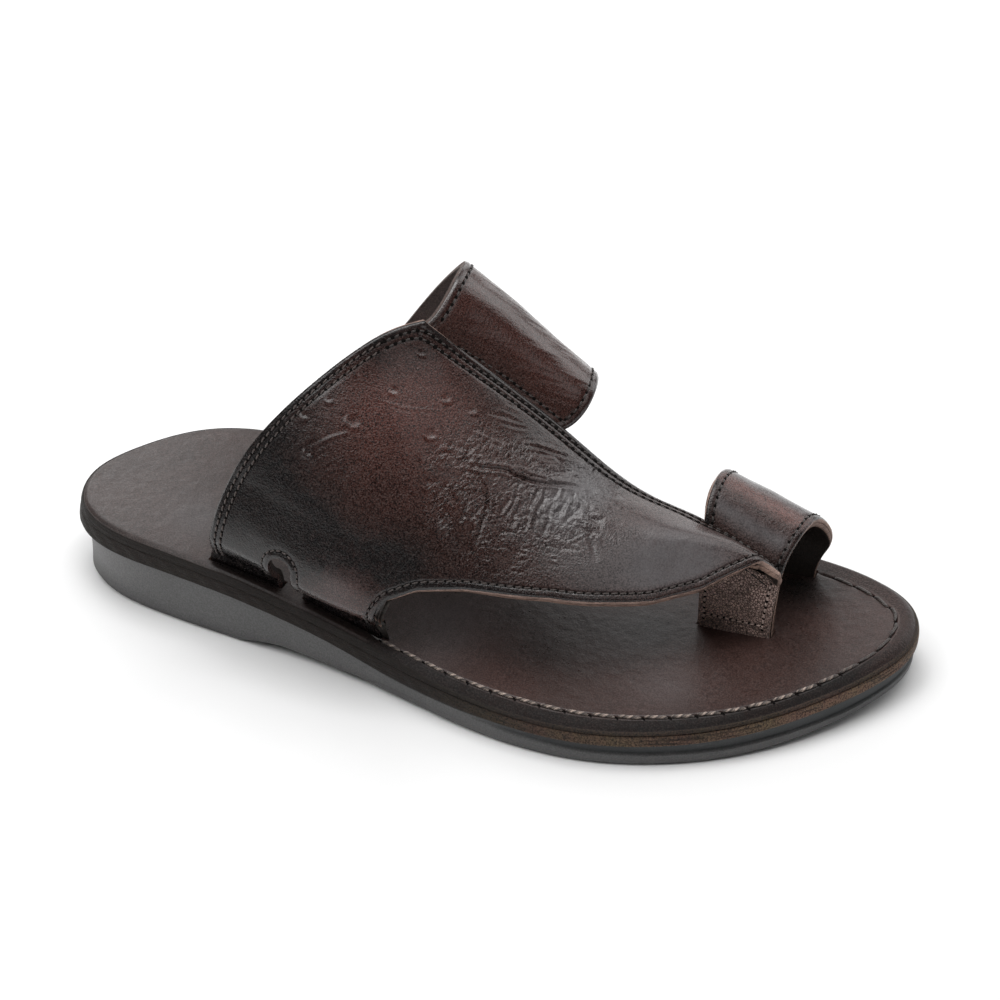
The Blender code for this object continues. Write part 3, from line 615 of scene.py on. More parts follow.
def sheet(name, face, back, materials, rim_steps=3, bulge=0.25, skip=1, attributes=None):
    """Closed leather sheet.  face and back are grids of the same shape, from
    the outside and the inside; the back keeps only every skip-th row and
    column.  Materials: 0 face, 1 cut edge, 2 back."""
    nu, nv = face.shape[:2]
    assert (nu - 1) % skip == 0 and (nv - 1) % skip == 0, (name, nu, nv, skip)
    verts = [face.reshape(-1, 3)]
    faces, mats = [], []
    idx = np.arange(nu * nv).reshape(nu, nv)
    quads = np.stack([idx[:-1, :-1], idx[1:, :-1], idx[1:, 1:], idx[:-1, 1:]], -1).reshape(-1, 4)
    faces += quads.tolist()
    mats += [0] * len(quads)
    ring = np.concatenate([idx[:, 0], idx[-1, 1:], idx[-2::-1, -1], idx[0, -2:0:-1]])
    flat_face = face.reshape(-1, 3)
    flat_back = back.reshape(-1, 3)
    inward = np.concatenate([idx[:, 1], idx[-2, 1:], idx[-2::-1, -2], idx[1, -2:0:-1]])
    out = flat_face[ring] - flat_face[inward]
    out /= np.maximum(np.linalg.norm(out, axis=1), 1e-9)[:, None]
    count = len(ring)
    last = ring
    n0 = nu * nv
    for k in range(1, rim_steps + 1):
        s = k / (rim_steps + 1)
        loop = flat_face[ring] * (1 - s) + flat_back[ring] * s + out * (bulge * math.sin(math.pi * s))
        verts.append(loop)
        now = n0 + np.arange(count)
        n0 += count
        q = np.stack([last, now, np.roll(now, -1), np.roll(last, -1)], -1)
        faces += q.tolist()
        mats += [1] * count
        last = now
    bu, bv = (nu - 1) // skip + 1, (nv - 1) // skip + 1
    coarse = back[::skip, ::skip]
    verts.append(coarse.reshape(-1, 3))
    cid = n0 + np.arange(bu * bv).reshape(bu, bv)
    q = np.stack([cid[:-1, :-1], cid[:-1, 1:], cid[1:, 1:], cid[1:, :-1]], -1).reshape(-1, 4)
    faces += q.tolist()
    mats += [2] * len(q)
    cring = np.concatenate([cid[:, 0], cid[-1, 1:], cid[-2::-1, -1], cid[0, -2:0:-1]])
    m = len(cring)
    for k in range(m):
        a, b = int(cring[k]), int(cring[(k + 1) % m])
        fine = [int(last[(k * skip + i) % count]) for i in range(skip + 1)]
        half = skip // 2
        for i in range(skip):
            if i == half:
                faces.append((fine[i], a, b, fine[i + 1]))
                mats.append(1)
            else:
                faces.append((fine[i], a if i < half else b, fine[i + 1]))
                mats.append(1)
    verts = np.vstack(verts)
    if attributes:
        full = {}
        for key, values in attributes.items():
            v = np.zeros(len(verts))
            flat = np.asarray(values).reshape(-1)
            v[:nu * nv] = flat
            for k in range(rim_steps):
                v[nu * nv + k * count:nu * nv + (k + 1) * count] = flat[ring]
            v[nu * nv + rim_steps * count:] = np.asarray(values)[::skip, ::skip].reshape(-1)
            full[key] = v
        attributes = full
    return new_object(name, verts, faces, materials, mats, attributes, sharp=None)


def tube(path, radii, sides=8, squash=1.0, up=None):
    """Vertices and faces of a closed round bar along a path."""
    path = np.asarray(path, float)
    n = len(path)
    radii = np.broadcast_to(radii, n)
    t = np.gradient(path, axis=0)
    t /= np.linalg.norm(t, axis=1)[:, None]
    if up is None:
        up = np.tile([0.0, 0.0, 1.0], (n, 1))
    side = np.cross(t, up)
    side /= np.maximum(np.linalg.norm(side, axis=1), 1e-9)[:, None]
    upn = np.cross(side, t)
    a = np.arange(sides) * 2 * math.pi / sides
    ring = path[:, None] + radii[:, None, None] * (
        side[:, None] * np.cos(a)[None, :, None] + upn[:, None] * (squash * np.sin(a))[None, :, None])
    verts = ring.reshape(-1, 3)
    faces = []
    for i in range(n - 1):
        for k in range(sides):
            j = (k + 1) % sides
            faces.append((i * sides + k, i * sides + j, (i + 1) * sides + j, (i + 1) * sides + k))
    faces.append(tuple(range(sides))[::-1])
    faces.append(tuple((n - 1) * sides + k for k in range(sides)))
    return verts, faces


class Joined:
    """Many small bits gathered into one mesh."""

    def __init__(self):
        self.verts, self.faces, self.tones, self.count = [], [], [], 0

    def add(self, verts, faces, tone=0.0):
        self.verts.append(np.asarray(verts, float))
        self.faces += [tuple(i + self.count for i in f) for f in faces]
        self.tones += np.broadcast_to(tone, len(verts)).tolist()
        self.count += len(verts)

    def build(self, name, materials):
        return new_object(name, np.vstack(self.verts), self.faces, materials, attributes={"tone": self.tones})


# ---------------------------------------------------------------- materials
def nodes_of(name):
    mat = bpy.data.materials.new(name)
    mat.use_nodes = True
    tree = mat.node_tree
    tree.nodes.clear()
    out = tree.nodes.new("ShaderNodeOutputMaterial")
    shader = tree.nodes.new("ShaderNodeBsdfPrincipled")
    tree.links.new(shader.outputs[0], out.inputs[0])
    return mat, tree, shader


class Paint:
    """Short names for the nodes the materials are made of.  Lengths are in
    millimetres: the object's own coordinates are scaled by a thousand."""

    def __init__(self, name):
        self.mat, self.tree, self.shader = nodes_of(name)
        coords = self.tree.nodes.new("ShaderNodeTexCoord")
        self.mm = self.tree.nodes.new("ShaderNodeMapping")
        self.mm.inputs["Scale"].default_value = (1000, 1000, 1000)
        self.link(coords.outputs["Object"], self.mm.inputs["Vector"])

    def link(self, a, b):
        self.tree.links.new(a, b)

    def node(self, kind, **settings):
        n = self.tree.nodes.new(kind)
        for k, v in settings.items():
            setattr(n, k, v)
        return n

    def put(self, socket, value):
        if isinstance(value, bpy.types.NodeSocket):
            self.link(value, socket)
        elif isinstance(value, tuple) and len(value) == 3:
            socket.default_value = (*value, 1) if len(socket.default_value) == 4 else value
        else:
            socket.default_value = value

    def stretch(self, x, y, z):
        m = self.node("ShaderNodeMapping")
        m.inputs["Scale"].default_value = (x, y, z)
        self.link(self.mm.outputs[0], m.inputs["Vector"])
        return m.outputs[0]

    def noise(self, scale, detail=3.0, rough=0.55, vector=None, distortion=0.0):
        n = self.node("ShaderNodeTexNoise")
        n.inputs["Scale"].default_value = scale
        n.inputs["Detail"].default_value = detail
        n.inputs["Roughness"].default_value = rough
        n.inputs["Distortion"].default_value = distortion
        self.link(vector or self.mm.outputs[0], n.inputs["Vector"])
        return n.outputs[0]

    def cells(self, scale, feature="F1", vector=None, randomness=1.0):
        n = self.node("ShaderNodeTexVoronoi", feature=feature)
        n.inputs["Scale"].default_value = scale
        n.inputs["Randomness"].default_value = randomness
        self.link(vector or self.mm.outputs[0], n.inputs["Vector"])
        return n.outputs["Distance"]

    def attribute(self, key):
        n = self.node("ShaderNodeAttribute", attribute_name=key)
        return n.outputs["Fac"]

    def ramp(self, value, *stops):
        n = self.node("ShaderNodeValToRGB")
        e = n.color_ramp.elements
        while len(e) < len(stops):
            e.new(0.5)
        for k, (at, colour) in enumerate(stops):
            e[k].position = at
            c = colour if isinstance(colour, tuple) else (colour, colour, colour)
            e[k].color = (*c, 1)
        self.link(value, n.inputs[0])
        return n.outputs[0]

    def span(self, value, a, b, c, d):
        n = self.node("ShaderNodeMapRange")
        for k, t in zip(("From Min", "From Max", "To Min", "To Max"), (a, b, c, d)):
            n.inputs[k].default_value = t
        self.link(value, n.inputs["Value"])
        return n.outputs[0]

    def math(self, operation, a, b=0.0, clamp=False):
        n = self.node("ShaderNodeMath", operation=operation, use_clamp=clamp)
        self.put(n.inputs[0], a)
        self.put(n.inputs[1], b)
        return n.outputs[0]

    def mix(self, factor, a, b, blend="MIX"):
        n = self.node("ShaderNodeMix", data_type="RGBA", blend_type=blend)
        self.put(n.inputs["Factor"], factor)
        self.put(n.inputs[6], a)
        self.put(n.inputs[7], b)
        return n.outputs[2]

    def bump(self, height, strength, distance, below=None):
        n = self.node("ShaderNodeBump")
        n.inputs["Strength"].default_value = strength
        n.inputs["Distance"].default_value = distance / 1000
        self.link(height, n.inputs["Height"])
        if below is not None:
            self.link(below, n.inputs["Normal"])
        return n.outputs[0]

    def set(self, **values):
        for k, v in values.items():
            self.put(self.shader.inputs[k.replace("_", " ")], v)

    def done(self):
        return self.mat


def waxed_leather(name, brown, red, black, rough=0.29, coat=0.3, grain=0.07, speckle=1.0, polish=0.10, gloss=0.5, smooth=0.20):
    """Smooth pull-up leather: brown, reddish where it is rubbed and where light is painted, blackened where it is
    burnished and where shade is painted, greyed where a sheen is painted, with a salt-and-pepper grain of fine pores
    and small painted glints."""
    p = Paint(name)
    burnish_and_painted_shade = p.attribute("burnish_and_painted_shade")
    rub_and_painted_light = p.attribute("rub_and_painted_light")
    fold = p.attribute("fold")
    painted_sheen = p.attribute("painted_sheen")
    matte = p.attribute("matte")
    cloud = p.noise(0.045, 4, 0.6)
    fleck = p.noise(0.5, 4, 0.65)
    pores = p.cells(1.25, "F1")
    fine = p.noise(2.1, 1, 0.5)
    grit = p.noise(1.75, 1, 0.5)
    base = p.mix(p.span(cloud, 0.35, 0.68, 0.0, 1.0), brown, tuple(c * 1.25 for c in brown))
    base = p.mix(p.math("MULTIPLY", rub_and_painted_light, p.span(fleck, 0.3, 0.7, 0.65, 1.0)), base, red)
    # blackened: burnish, and painted shade where the attribute carries it
    dark = p.math("ADD", burnish_and_painted_shade, p.span(cloud, 0.55, 0.30, 0.0, 0.22), clamp=True)
    dark = p.math("MULTIPLY", dark, p.span(fleck, 0.25, 0.75, 1.1, 0.75), clamp=True)
    base = p.mix(dark, base, black)
    # painted sheen: a grey reflection painted into the colour
    base = p.mix(p.math("MULTIPLY", painted_sheen, p.span(fleck, 0.3, 0.7, 0.75, 1.0)), base, (0.085, 0.078, 0.080))
    salt = p.math("MULTIPLY", p.span(fine, 0.36, 0.64, -0.80 * speckle, 1.60 * speckle), p.math("SUBTRACT", 1.0, p.math("MULTIPLY", burnish_and_painted_shade, 0.45)))
    calm = p.math("SUBTRACT", 1.0, p.math("MULTIPLY", painted_sheen, 0.80))
    salt = p.math("MULTIPLY", salt, calm)
    base = p.mix(1.0, base, p.math("MAXIMUM", p.math("ADD", salt, 1.0), 0.16), "MULTIPLY")
    glint = p.math("MULTIPLY", p.span(fine, 0.54, 0.66, 0.0, 0.75 * speckle), p.math("SUBTRACT", 1.0, p.math("MULTIPLY", burnish_and_painted_shade, 0.75)))
    base = p.mix(p.math("MULTIPLY", glint, calm), base, (0.062, 0.048, 0.044))
    p.set(Base_Color=base)
    r = p.math("ADD", p.span(fleck, 0.3, 0.7, rough - 0.04, rough + 0.06), p.math("MULTIPLY", burnish_and_painted_shade, -polish))
    r = p.math("ADD", r, p.span(grit, 0.35, 0.65, 0.10, -0.07))
    r = p.math("SUBTRACT", r, p.math("MULTIPLY", fold, 0.17))
    r = p.math("ADD", r, p.math("MULTIPLY", matte, 0.36))
    p.set(Roughness=r)
    p.shader.inputs["Specular IOR Level"].default_value = gloss
    p.shader.inputs["Coat Weight"].default_value = coat
    p.shader.inputs["Coat Roughness"].default_value = smooth
    h = p.math("ADD", p.math("MULTIPLY", pores, 0.20), p.math("MULTIPLY", p.math("MULTIPLY", grit, 2.8), calm))
    n1 = p.bump(h, 0.95, grain)
    n2 = p.bump(p.noise(0.22, 3, 0.5), 0.5, 0.5, n1)
    crack = p.math("MULTIPLY", p.span(p.cells(0.62, "DISTANCE_TO_EDGE", p.stretch(1.1, 0.6, 0.8)), 0.0, 0.22, 0.0, 1.0), fold)
    n3 = p.bump(crack, 0.8, 0.24, n2)
    p.set(Normal=n3)
    return p.done()


def pebbled_leather(name, brown, rough=0.55, depth=0.16, scale=0.95, crevice=0.42, gap=0.16):
    """Leather with a pebbled grain, as on the tab between the toes."""
    p = Paint(name)
    cell = p.cells(scale, "DISTANCE_TO_EDGE")
    small = p.noise(2.6, 3, 0.6)
    cloud = p.noise(0.12, 3, 0.5)
    crack = p.span(cell, 0.0, gap, 0.0, 1.0)
    base = p.mix(p.span(cloud, 0.3, 0.7, 0.0, 1.0), brown, tuple(c * 1.5 for c in brown))
    # painted shade: the crevices between the pebbles are darker
    base = p.mix(crack, tuple(c * crevice for c in brown), base)
    base = p.mix(1.0, base, p.span(p.noise(1.5, 3, 0.6), 0.32, 0.68, 0.55, 1.45), "MULTIPLY")
    p.set(Base_Color=base, Roughness=p.span(small, 0.3, 0.7, rough - 0.08, rough + 0.08))
    h = p.math("ADD", crack, p.math("MULTIPLY", small, 0.35))
    p.set(Normal=p.bump(h, 0.9, depth))
    return p.done()


def cut_leather(name, body, pale, dark, rough=0.62, along_scale=0.35, layer_scale=2.2):
    """Cut or burnished edge: short fibres in layers, darkened where the attribute says so:
    a stain, and painted shade low on the vamp's tabs."""
    p = Paint(name)
    stain_and_painted_shade = p.attribute("stain_and_painted_shade")
    fibre = p.noise(1.0, 4, 0.62, p.stretch(along_scale, along_scale, layer_scale))
    speck = p.noise(1.9, 4, 0.7)
    worn = p.noise(0.055, 3, 0.6)
    base = p.mix(p.span(fibre, 0.36, 0.64, 0.0, 1.0), dark, body)
    wear = p.math("MULTIPLY", p.span(worn, 0.50, 0.66, 0.0, 1.0), p.span(speck, 0.45, 0.7, 0.0, 1.0))
    base = p.mix(wear, base, pale)
    base = p.mix(stain_and_painted_shade, base, (0.007, 0.006, 0.006))
    p.set(Base_Color=base, Roughness=p.span(fibre, 0.3, 0.7, rough - 0.08, rough + 0.1))
    p.shader.inputs["Specular IOR Level"].default_value = 0.25
    h = p.math("ADD", fibre, p.math("MULTIPLY", speck, 0.5))
    p.set(Normal=p.bump(h, 0.7, 0.22))
    return p.done()


def sole_leather(name, body, raw, dark):
    """Side of the leather sole: smooth and stained toward the heel, with raw
    reddish fibre and dark lines between the layers where it was trimmed."""
    p = Paint(name)
    rawness = p.attribute("raw")
    fibre = p.noise(1.0, 4, 0.66, p.stretch(0.45, 0.45, 2.4))
    lines = p.noise(1.0, 2, 0.5, p.stretch(0.05, 0.05, 1.15))
    speck = p.noise(1.7, 4, 0.7)
    worn = p.noise(0.05, 3, 0.6)
    base = p.mix(p.span(fibre, 0.38, 0.62, 0.0, 1.0), tuple(c * 0.55 for c in body), tuple(c * 1.35 for c in body))
    red = p.mix(p.span(worn, 0.40, 0.60, 0.0, 1.0), raw, (raw[0] * 0.95, raw[1] * 1.15, raw[2] * 0.95))
    amount = p.math("MULTIPLY", rawness, p.span(speck, 0.36, 0.60, 0.0, 1.0), clamp=True)
    base = p.mix(amount, base, red)
    base = p.mix(p.math("MULTIPLY", p.span(lines, 0.56, 0.66, 0.0, 0.85), rawness, clamp=True), base, dark)
    p.set(Base_Color=base, Roughness=p.span(fibre, 0.3, 0.7, 0.50, 0.76))
    p.shader.inputs["Specular IOR Level"].default_value = 0.20
    h = p.math("ADD", fibre, p.math("ADD", p.math("MULTIPLY", speck, 0.9), p.math("MULTIPLY", lines, -1.2)))
    p.set(Normal=p.bump(h, 0.9, 0.34))
    return p.done()


def moulded_rubber(name, body, rough=0.52):
    p = Paint(name)
    burnish_and_painted_shade, rub_and_painted_light = p.attribute("burnish_and_painted_shade"), p.attribute("rub_and_painted_light")
    cloud = p.noise(0.05, 4, 0.6)
    grain = p.noise(1.9, 3, 0.6)
    scuff = p.noise(1.0, 4, 0.6, p.stretch(0.10, 0.10, 0.55))
    base = p.mix(p.span(cloud, 0.3, 0.7, 0.0, 1.0), body, tuple(c * 1.3 for c in body))
    # lighter where a highlight is painted, darker where shade is painted and toward the toe
    base = p.mix(rub_and_painted_light, base, tuple(c * 2.3 for c in body))
    base = p.mix(burnish_and_painted_shade, base, (body[0] * 0.35, body[1] * 0.39, body[2] * 0.42))
    base = p.mix(p.span(scuff, 0.58, 0.76, 0.0, 0.35), base, tuple(c * 2.0 for c in body))
    base = p.mix(1.0, base, p.span(grain, 0.34, 0.66, 0.72, 1.28), "MULTIPLY")
    p.set(Base_Color=base)
    p.set(Roughness=p.math("ADD", p.span(cloud, 0.3, 0.7, rough - 0.05, rough + 0.05), p.span(grain, 0.3, 0.7, -0.04, 0.08)))
    p.set(Normal=p.bump(p.math("ADD", grain, p.math("MULTIPLY", scuff, 0.8)), 0.55, 0.09))
    p.shader.inputs["Specular IOR Level"].default_value = 0.45
    return p.done()


def thread(name, colour, pale, rough=0.5, sheen=0.2):
    """Twisted thread, from its own colour to a paler one by the tone."""
    p = Paint(name)
    tone = p.attribute("tone")
    ply = p.noise(2.4, 3, 0.6)
    base = p.mix(tone, colour, pale)
    base = p.mix(1.0, base, p.span(ply, 0.3, 0.7, 0.55, 1.35), "MULTIPLY")
    p.set(Base_Color=base, Roughness=p.span(ply, 0.3, 0.7, rough - 0.1, rough + 0.1))
    p.shader.inputs["Sheen Weight"].default_value = sheen
    p.set(Normal=p.bump(ply, 0.5, 0.08))
    return p.done()


# near-black discs laid over each needle hole: painted shade for the hole's depth
def hole_dark(name):
    p = Paint(name)
    p.set(Base_Color=p.mix(p.span(p.noise(2.0, 2), 0.3, 0.7, 0.0, 1.0), (0.0022, 0.0018, 0.0016), (0.004, 0.003, 0.0026)), Roughness=0.9)
    p.shader.inputs["Specular IOR Level"].default_value = 0.1
    return p.done()


BROWN = (0.0235, 0.0094, 0.0071)
REDDISH = (0.0540, 0.0150, 0.0105)
BLACK = (0.0055, 0.0050, 0.0052)

LEATHER = waxed_leather("leather_upper", BROWN, REDDISH, BLACK, gloss=0.34, coat=0.46, smooth=0.17)
BAND_LEATHER = waxed_leather("leather_band", BROWN, REDDISH, BLACK, rough=0.22, coat=0.55, grain=0.05, speckle=0.6)
LOOP_LEATHER = waxed_leather("leather_loop", (0.024, 0.0118, 0.0098), (0.125, 0.0560, 0.0470), BLACK, rough=0.24, coat=0.25, grain=0.07, speckle=0.8, gloss=0.34)
BED_LEATHER = waxed_leather("leather_footbed", (0.023, 0.0125, 0.0104), (0.040, 0.0175, 0.0140), (0.005, 0.0045, 0.0042), rough=0.38, coat=0.08, grain=0.012, speckle=0.45, gloss=0.42, smooth=0.26)
BED_RIM = waxed_leather("leather_rim", (0.016, 0.0095, 0.0082), (0.030, 0.0130, 0.0105), (0.0045, 0.0042, 0.0040), rough=0.46, coat=0.0, grain=0.06, speckle=0.55, gloss=0.28)
LINING = pebbled_leather("leather_lining", (0.0180, 0.0125, 0.0095), rough=0.6, depth=0.08, scale=1.3)
BAND_LINING = pebbled_leather("leather_band_lining", (0.070, 0.047, 0.042), rough=0.6, depth=0.08, scale=1.3)
TAB = pebbled_leather("leather_tab", (0.385, 0.268, 0.232), rough=0.40, depth=0.60, scale=1.15, crevice=0.20, gap=0.17)
RAW = cut_leather("edge_raw", (0.27, 0.175, 0.140), (0.32, 0.200, 0.150), (0.070, 0.042, 0.032))
RAW_TAN = cut_leather("edge_trimmed", (0.40, 0.275, 0.230), (0.56, 0.40, 0.33), (0.150, 0.098, 0.080))
RAW_DARK = cut_leather("edge_stained", (0.060, 0.040, 0.033), (0.14, 0.090, 0.068), (0.018, 0.012, 0.010))
RAW_BROWN = cut_leather("edge_band", (0.105, 0.068, 0.056), (0.22, 0.145, 0.115), (0.035, 0.023, 0.019))
SOLE_EDGE = sole_leather("edge_sole", (0.0115, 0.0100, 0.0095), (0.205, 0.116, 0.082), (0.005, 0.0045, 0.0042))
RUBBER = moulded_rubber("rubber_sole", (0.068, 0.067, 0.067))
DARK_THREAD = thread("thread_dark", (0.0085, 0.0060, 0.0052), (0.16, 0.115, 0.10))
BED_THREAD = thread("thread_footbed", (0.020, 0.0125, 0.0100), (0.42, 0.33, 0.28), rough=0.42)
TAB_THREAD = thread("thread_tab", (0.22, 0.15, 0.13), (0.66, 0.50, 0.44), rough=0.5)
HOLE = hole_dark("needle_hole")


# --------------------------------------------------------------------- sole
SIDEWALL = (
    # x      step   recess  undercut  under
    (0.0,    0.0,   0.00,   2.2,      0.9),
    (58.0,   0.0,   0.00,   2.2,      0.8),
    (74.0,   0.0,   0.00,   2.4,      0.5),
    (100.0,  0.0,   0.00,   2.6,      0.5),
    (108.0,  0.0,   0.00,   2.9,      0.7),
    (119.0,  0.0,   0.00,   5.1,      0.7),
    (136.0,  0.0,   0.00,   4.7,      0.7),
    (138.5,  0.0,   0.00,   2.4,      0.6),
    (150.0,  7.2,   0.00,   1.8,      0.4),
    (165.0,  5.6,   0.80,   1.2,      0.3),
    (186.0,  4.5,   1.20,   1.0,      0.3),
    (232.0,  4.4,   1.20,   1.0,      0.3),
    (262.0,  5.8,   1.00,   2.2,      0.3),
    (278.0,  8.0,   0.70,   3.6,      0.3),
)
BARS = ((13.0, 9.6, 6), (165.0, 10.4, 9))      # tread grooves: first, pitch, count


def side_value(key, x):
    return np.interp(x, [r[0] * GX for r in SIDEWALL], [r[key] for r in SIDEWALL])


def wrap(name, rings, m, materials, ring_materials, across=1, sharp=45, top=None):
    """Closed solid from stacked rim loops, like the CAD's layers; the top and
    bottom loops are closed across in several strips."""
    p, n = outline_stations(m)
    count = 2 * m
    verts, faces, mats = [], [], []
    for stand, height in rings:
        q = p + n * np.asarray(stand(p[:, 0]))[:, None]
        verts.append(np.column_stack([q, height(q[:, 0])]))
    for k in range(len(rings) - 1):
        for i in range(count):
            j = (i + 1) % count
            faces.append((k * count + i, k * count + j, (k + 1) * count + j, (k + 1) * count + i))
            mats.append(ring_materials[k])
    total = len(rings) * count
    for base, up, mat in (((len(rings) - 1) * count, True, ring_materials[-1]), (0, False, ring_materials[0])):
        ring = verts[len(rings) - 1 if up else 0]
        strips = across if up else 1
        left = [base + i for i in range(m + 1)]
        right = [base + (count - i) % count for i in range(m + 1)]
        right[m] = left[m]
        columns = [left]
        for s in range(1, strips):
            w = s / strips
            col = [left[0]]
            pts = []
            for i in range(1, m):
                a, b = ring[i], ring[(count - i) % count]
                pts.append(a * (1 - w) + b * w)
                col.append(total + len(pts) - 1)
            col.append(left[m])
            pts = np.array(pts)
            if up and top is not None:
                pts[:, 2] = top(pts[:, 0])
            verts.append(pts)
            total += len(pts)
            columns.append(col)
        columns.append(right)
        for a, b in zip(columns[:-1], columns[1:]):
            for i in range(m):
                quad = [a[i], a[i + 1], b[i + 1], b[i]]
                quad = [v for k, v in enumerate(quad) if v not in quad[:k]]
                if len(quad) > 2:
                    faces.append(tuple(quad if up else quad[::-1]))
                    mats.append(mat)
    return new_object(name, np.vstack(verts), faces, materials, mats, sharp=sharp)


def sole_piece():
    def at(f):
        """Height, and stand-out, of the side wall at a share f of its height."""
        def height(x):
            return underside(x) + f * (rubber_top(x) - underside(x))

        def stand(x):
            z = height(x)
            low, high = underside(x), rubber_top(x)
            g = (z - low) / (high - low)
            s = np.interp(x, [r[0] * GX for r in SIDE], [r[4] for r in SIDE]) * (1 - g) \
                + np.interp(x, [r[0] * GX for r in SIDE], [r[2] for r in SIDE]) * g
            heel = 1 - soft_step(x, 50, 95)
            s = s - 0.55 * np.sin(math.pi * np.clip(g, 0, 1)) * heel
            step, recess = side_value(1, x), side_value(2, x)
            s = s - recess * soft_step(z, step - 0.4, step + 0.5)
            cut_z, cut_d = side_value(3, x), side_value(4, x)
            s = s - cut_d * (1 - soft_step(z, cut_z - 0.25, cut_z + 0.25))
            s = s - 1.1 * (1 - soft_step(z - low, -0.4, 1.3)) ** 2
            s = s - 0.35 * soft_step(z, high - 0.4, high + 0.05) ** 2
            return s
        return stand, height

    shares = [0, .015, .035, .06, .09, .12, .15, .18, .22, .26, .30, .34, .38, .42, .45, .48, .50, .52, .535, .55, .565,
              .58, .60, .62, .65, .68, .72, .76, .80, .84, .88, .92, .95, .97, .985, 1.0]
    obj = wrap("sole_rubber", [at(f) for f in shares], 210, [RUBBER], [0] * len(shares), sharp=50)
    verts, faces = [], []
    for x0, pitch, count in BARS:
        for i in range(count):
            x = x0 + pitch * i
            y0, y1 = float(rim_y(x, False)) + 9.0, float(rim_y(x, True)) - 9.0
            ys = np.linspace(y0, y1, 15)
            mid = x + 3.0 * (1 - ((ys - (y0 + y1) / 2) / ((y1 - y0) / 2)) ** 2)
            k = len(ys)
            low = np.concatenate([np.column_stack([mid + 3.6, ys, np.full(k, -1.0)]), np.column_stack([mid - 0.2, ys, np.full(k, -1.0)])[::-1]])
            top = np.concatenate([np.column_stack([mid + 3.0, ys, np.full(k, 1.8)]), np.column_stack([mid + 0.4, ys, np.full(k, 1.8)])[::-1]])
            n0, c = len(verts), 2 * k
            verts += low.tolist() + top.tolist()
            faces += [(n0 + a, n0 + (a + 1) % c, n0 + c + (a + 1) % c, n0 + c + a) for a in range(c)]
            faces += [tuple(n0 + a for a in range(c))[::-1], tuple(n0 + c + a for a in range(c))]
    groove = new_object("grooves", verts, faces, [RUBBER])
    cut(obj, [groove])
    obj.data.shade_smooth()
    obj.data.set_sharp_from_angle(angle=math.radians(35))
    p = positions(obj)
    step = side_value(1, p[:, 0])
    # painted shade on the recessed upper band of the forefoot's wall, and darker toward the toe; painted highlight on
    # the upper wall round the heel and along the rear half
    set_attribute(obj, "burnish_and_painted_shade", soft_step(p[:, 2], step - 0.3, step + 0.5) * soft_step(p[:, 0], 146, 172) * 0.85
                  + 0.45 * soft_step(p[:, 0], 250, 275))
    set_attribute(obj, "rub_and_painted_light", 0.95 * (1 - soft_step(p[:, 0], -2, 40)) * soft_step(p[:, 2], 3, 12)
                  + 0.25 * (1 - soft_step(p[:, 0], 90, 150)) * soft_step(p[:, 2], 2, 8))
    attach(obj, "root")
    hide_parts("outsole")
    return obj


def rawness(p):
    """How raw the leather's side is left: most along the front outer side."""
    outer = 1 - soft_step(p[:, 1], 26, 50)
    low = 1 - 0.75 * soft_step(p[:, 2] - midsole_bottom(p[:, 0]), 2.6, 4.6)
    return (0.06 + (0.70 * soft_step(p[:, 0], 130, 215) + 0.30 * soft_step(p[:, 0], 225, 258)) * outer * low) * (1 - 0.25 * soft_step(p[:, 0], 268, 279))


def midsole_piece():
    """Lower leather layer, its side trimmed flush with the footbed's."""
    def ring(f, z):
        """f: share of the leather's stand-out; z: 0 at the foot, 1 at the top."""
        def stand(x):
            share = f + (max(f, 0.76 - 0.06 * z) - f) * (1 - soft_step(x, 100, 170)) * (z > 0.5)
            return column(SIDE, 1, x) * share + 0.10 * np.sin(x * 0.9 + z * 5) * (z > 0.05) * (z < 0.95)
        return stand, lambda x: midsole_bottom(x) - 0.1 + z * (MIDSOLE_THICK + column(SOLE_HEIGHTS, 3, x) + 0.2)
    rings = [ring(0.70, 0.0), ring(0.94, 0.03), ring(1.02, 0.10), ring(1.03, 0.22), ring(1.00, 0.36), ring(0.97, 0.50), ring(0.92, 0.64),
             ring(0.87, 0.78), ring(0.80, 0.90), ring(0.66, 0.97), ring(0.45, 1.0)]
    obj = wrap("midsole_leather", rings, 300, [SOLE_EDGE], [0] * len(rings), sharp=60)
    set_attribute(obj, "raw", rawness(positions(obj)))
    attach(obj, "root")
    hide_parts("midsole")
    return obj


# the footbed's seam: how far inside the rim it runs on either side
SEAM_OUTER = (
    # x      inset
    (-5.0,   6.5),
    (60.0,   6.0),
    (100.0,  4.4),
    (116.0,  3.5),
    (130.0,  3.8),
    (150.0,  4.0),
    (172.0,  4.5),
    (195.0,  4.4),
    (211.0,  4.05),
    (225.0,  3.6),
    (237.0,  3.05),
    (247.0,  2.85),
    (255.0,  3.1),
    (263.0,  3.65),
    (269.0,  4.15),
    (273.5,  4.8),
    (276.0,  5.5),
    (278.3,  6.2),
)
SEAM_INNER = (
    (-5.0,   6.5),
    (60.0,   7.0),
    (200.0,  9.4),
    (241.0,  9.7),
    (259.0,  9.3),
    (266.0,  8.9),
    (272.2,  8.5),
    (274.4,  7.3),
    (276.2,  6.6),
    (278.3,  6.2),
)
BED_STITCH_FROM, BED_STITCH_TO = 116.0, 243.0     # along the outer side, and back along the inner side
CHANNEL = 0.75


def seam_inset(x, inner):
    a = np.interp(x, [r[0] * GX for r in SEAM_OUTER], [r[1] for r in SEAM_OUTER])
    b = np.interp(x, [r[0] * GX for r in SEAM_INNER], [r[1] for r in SEAM_INNER])
    return np.where(inner, b, a)


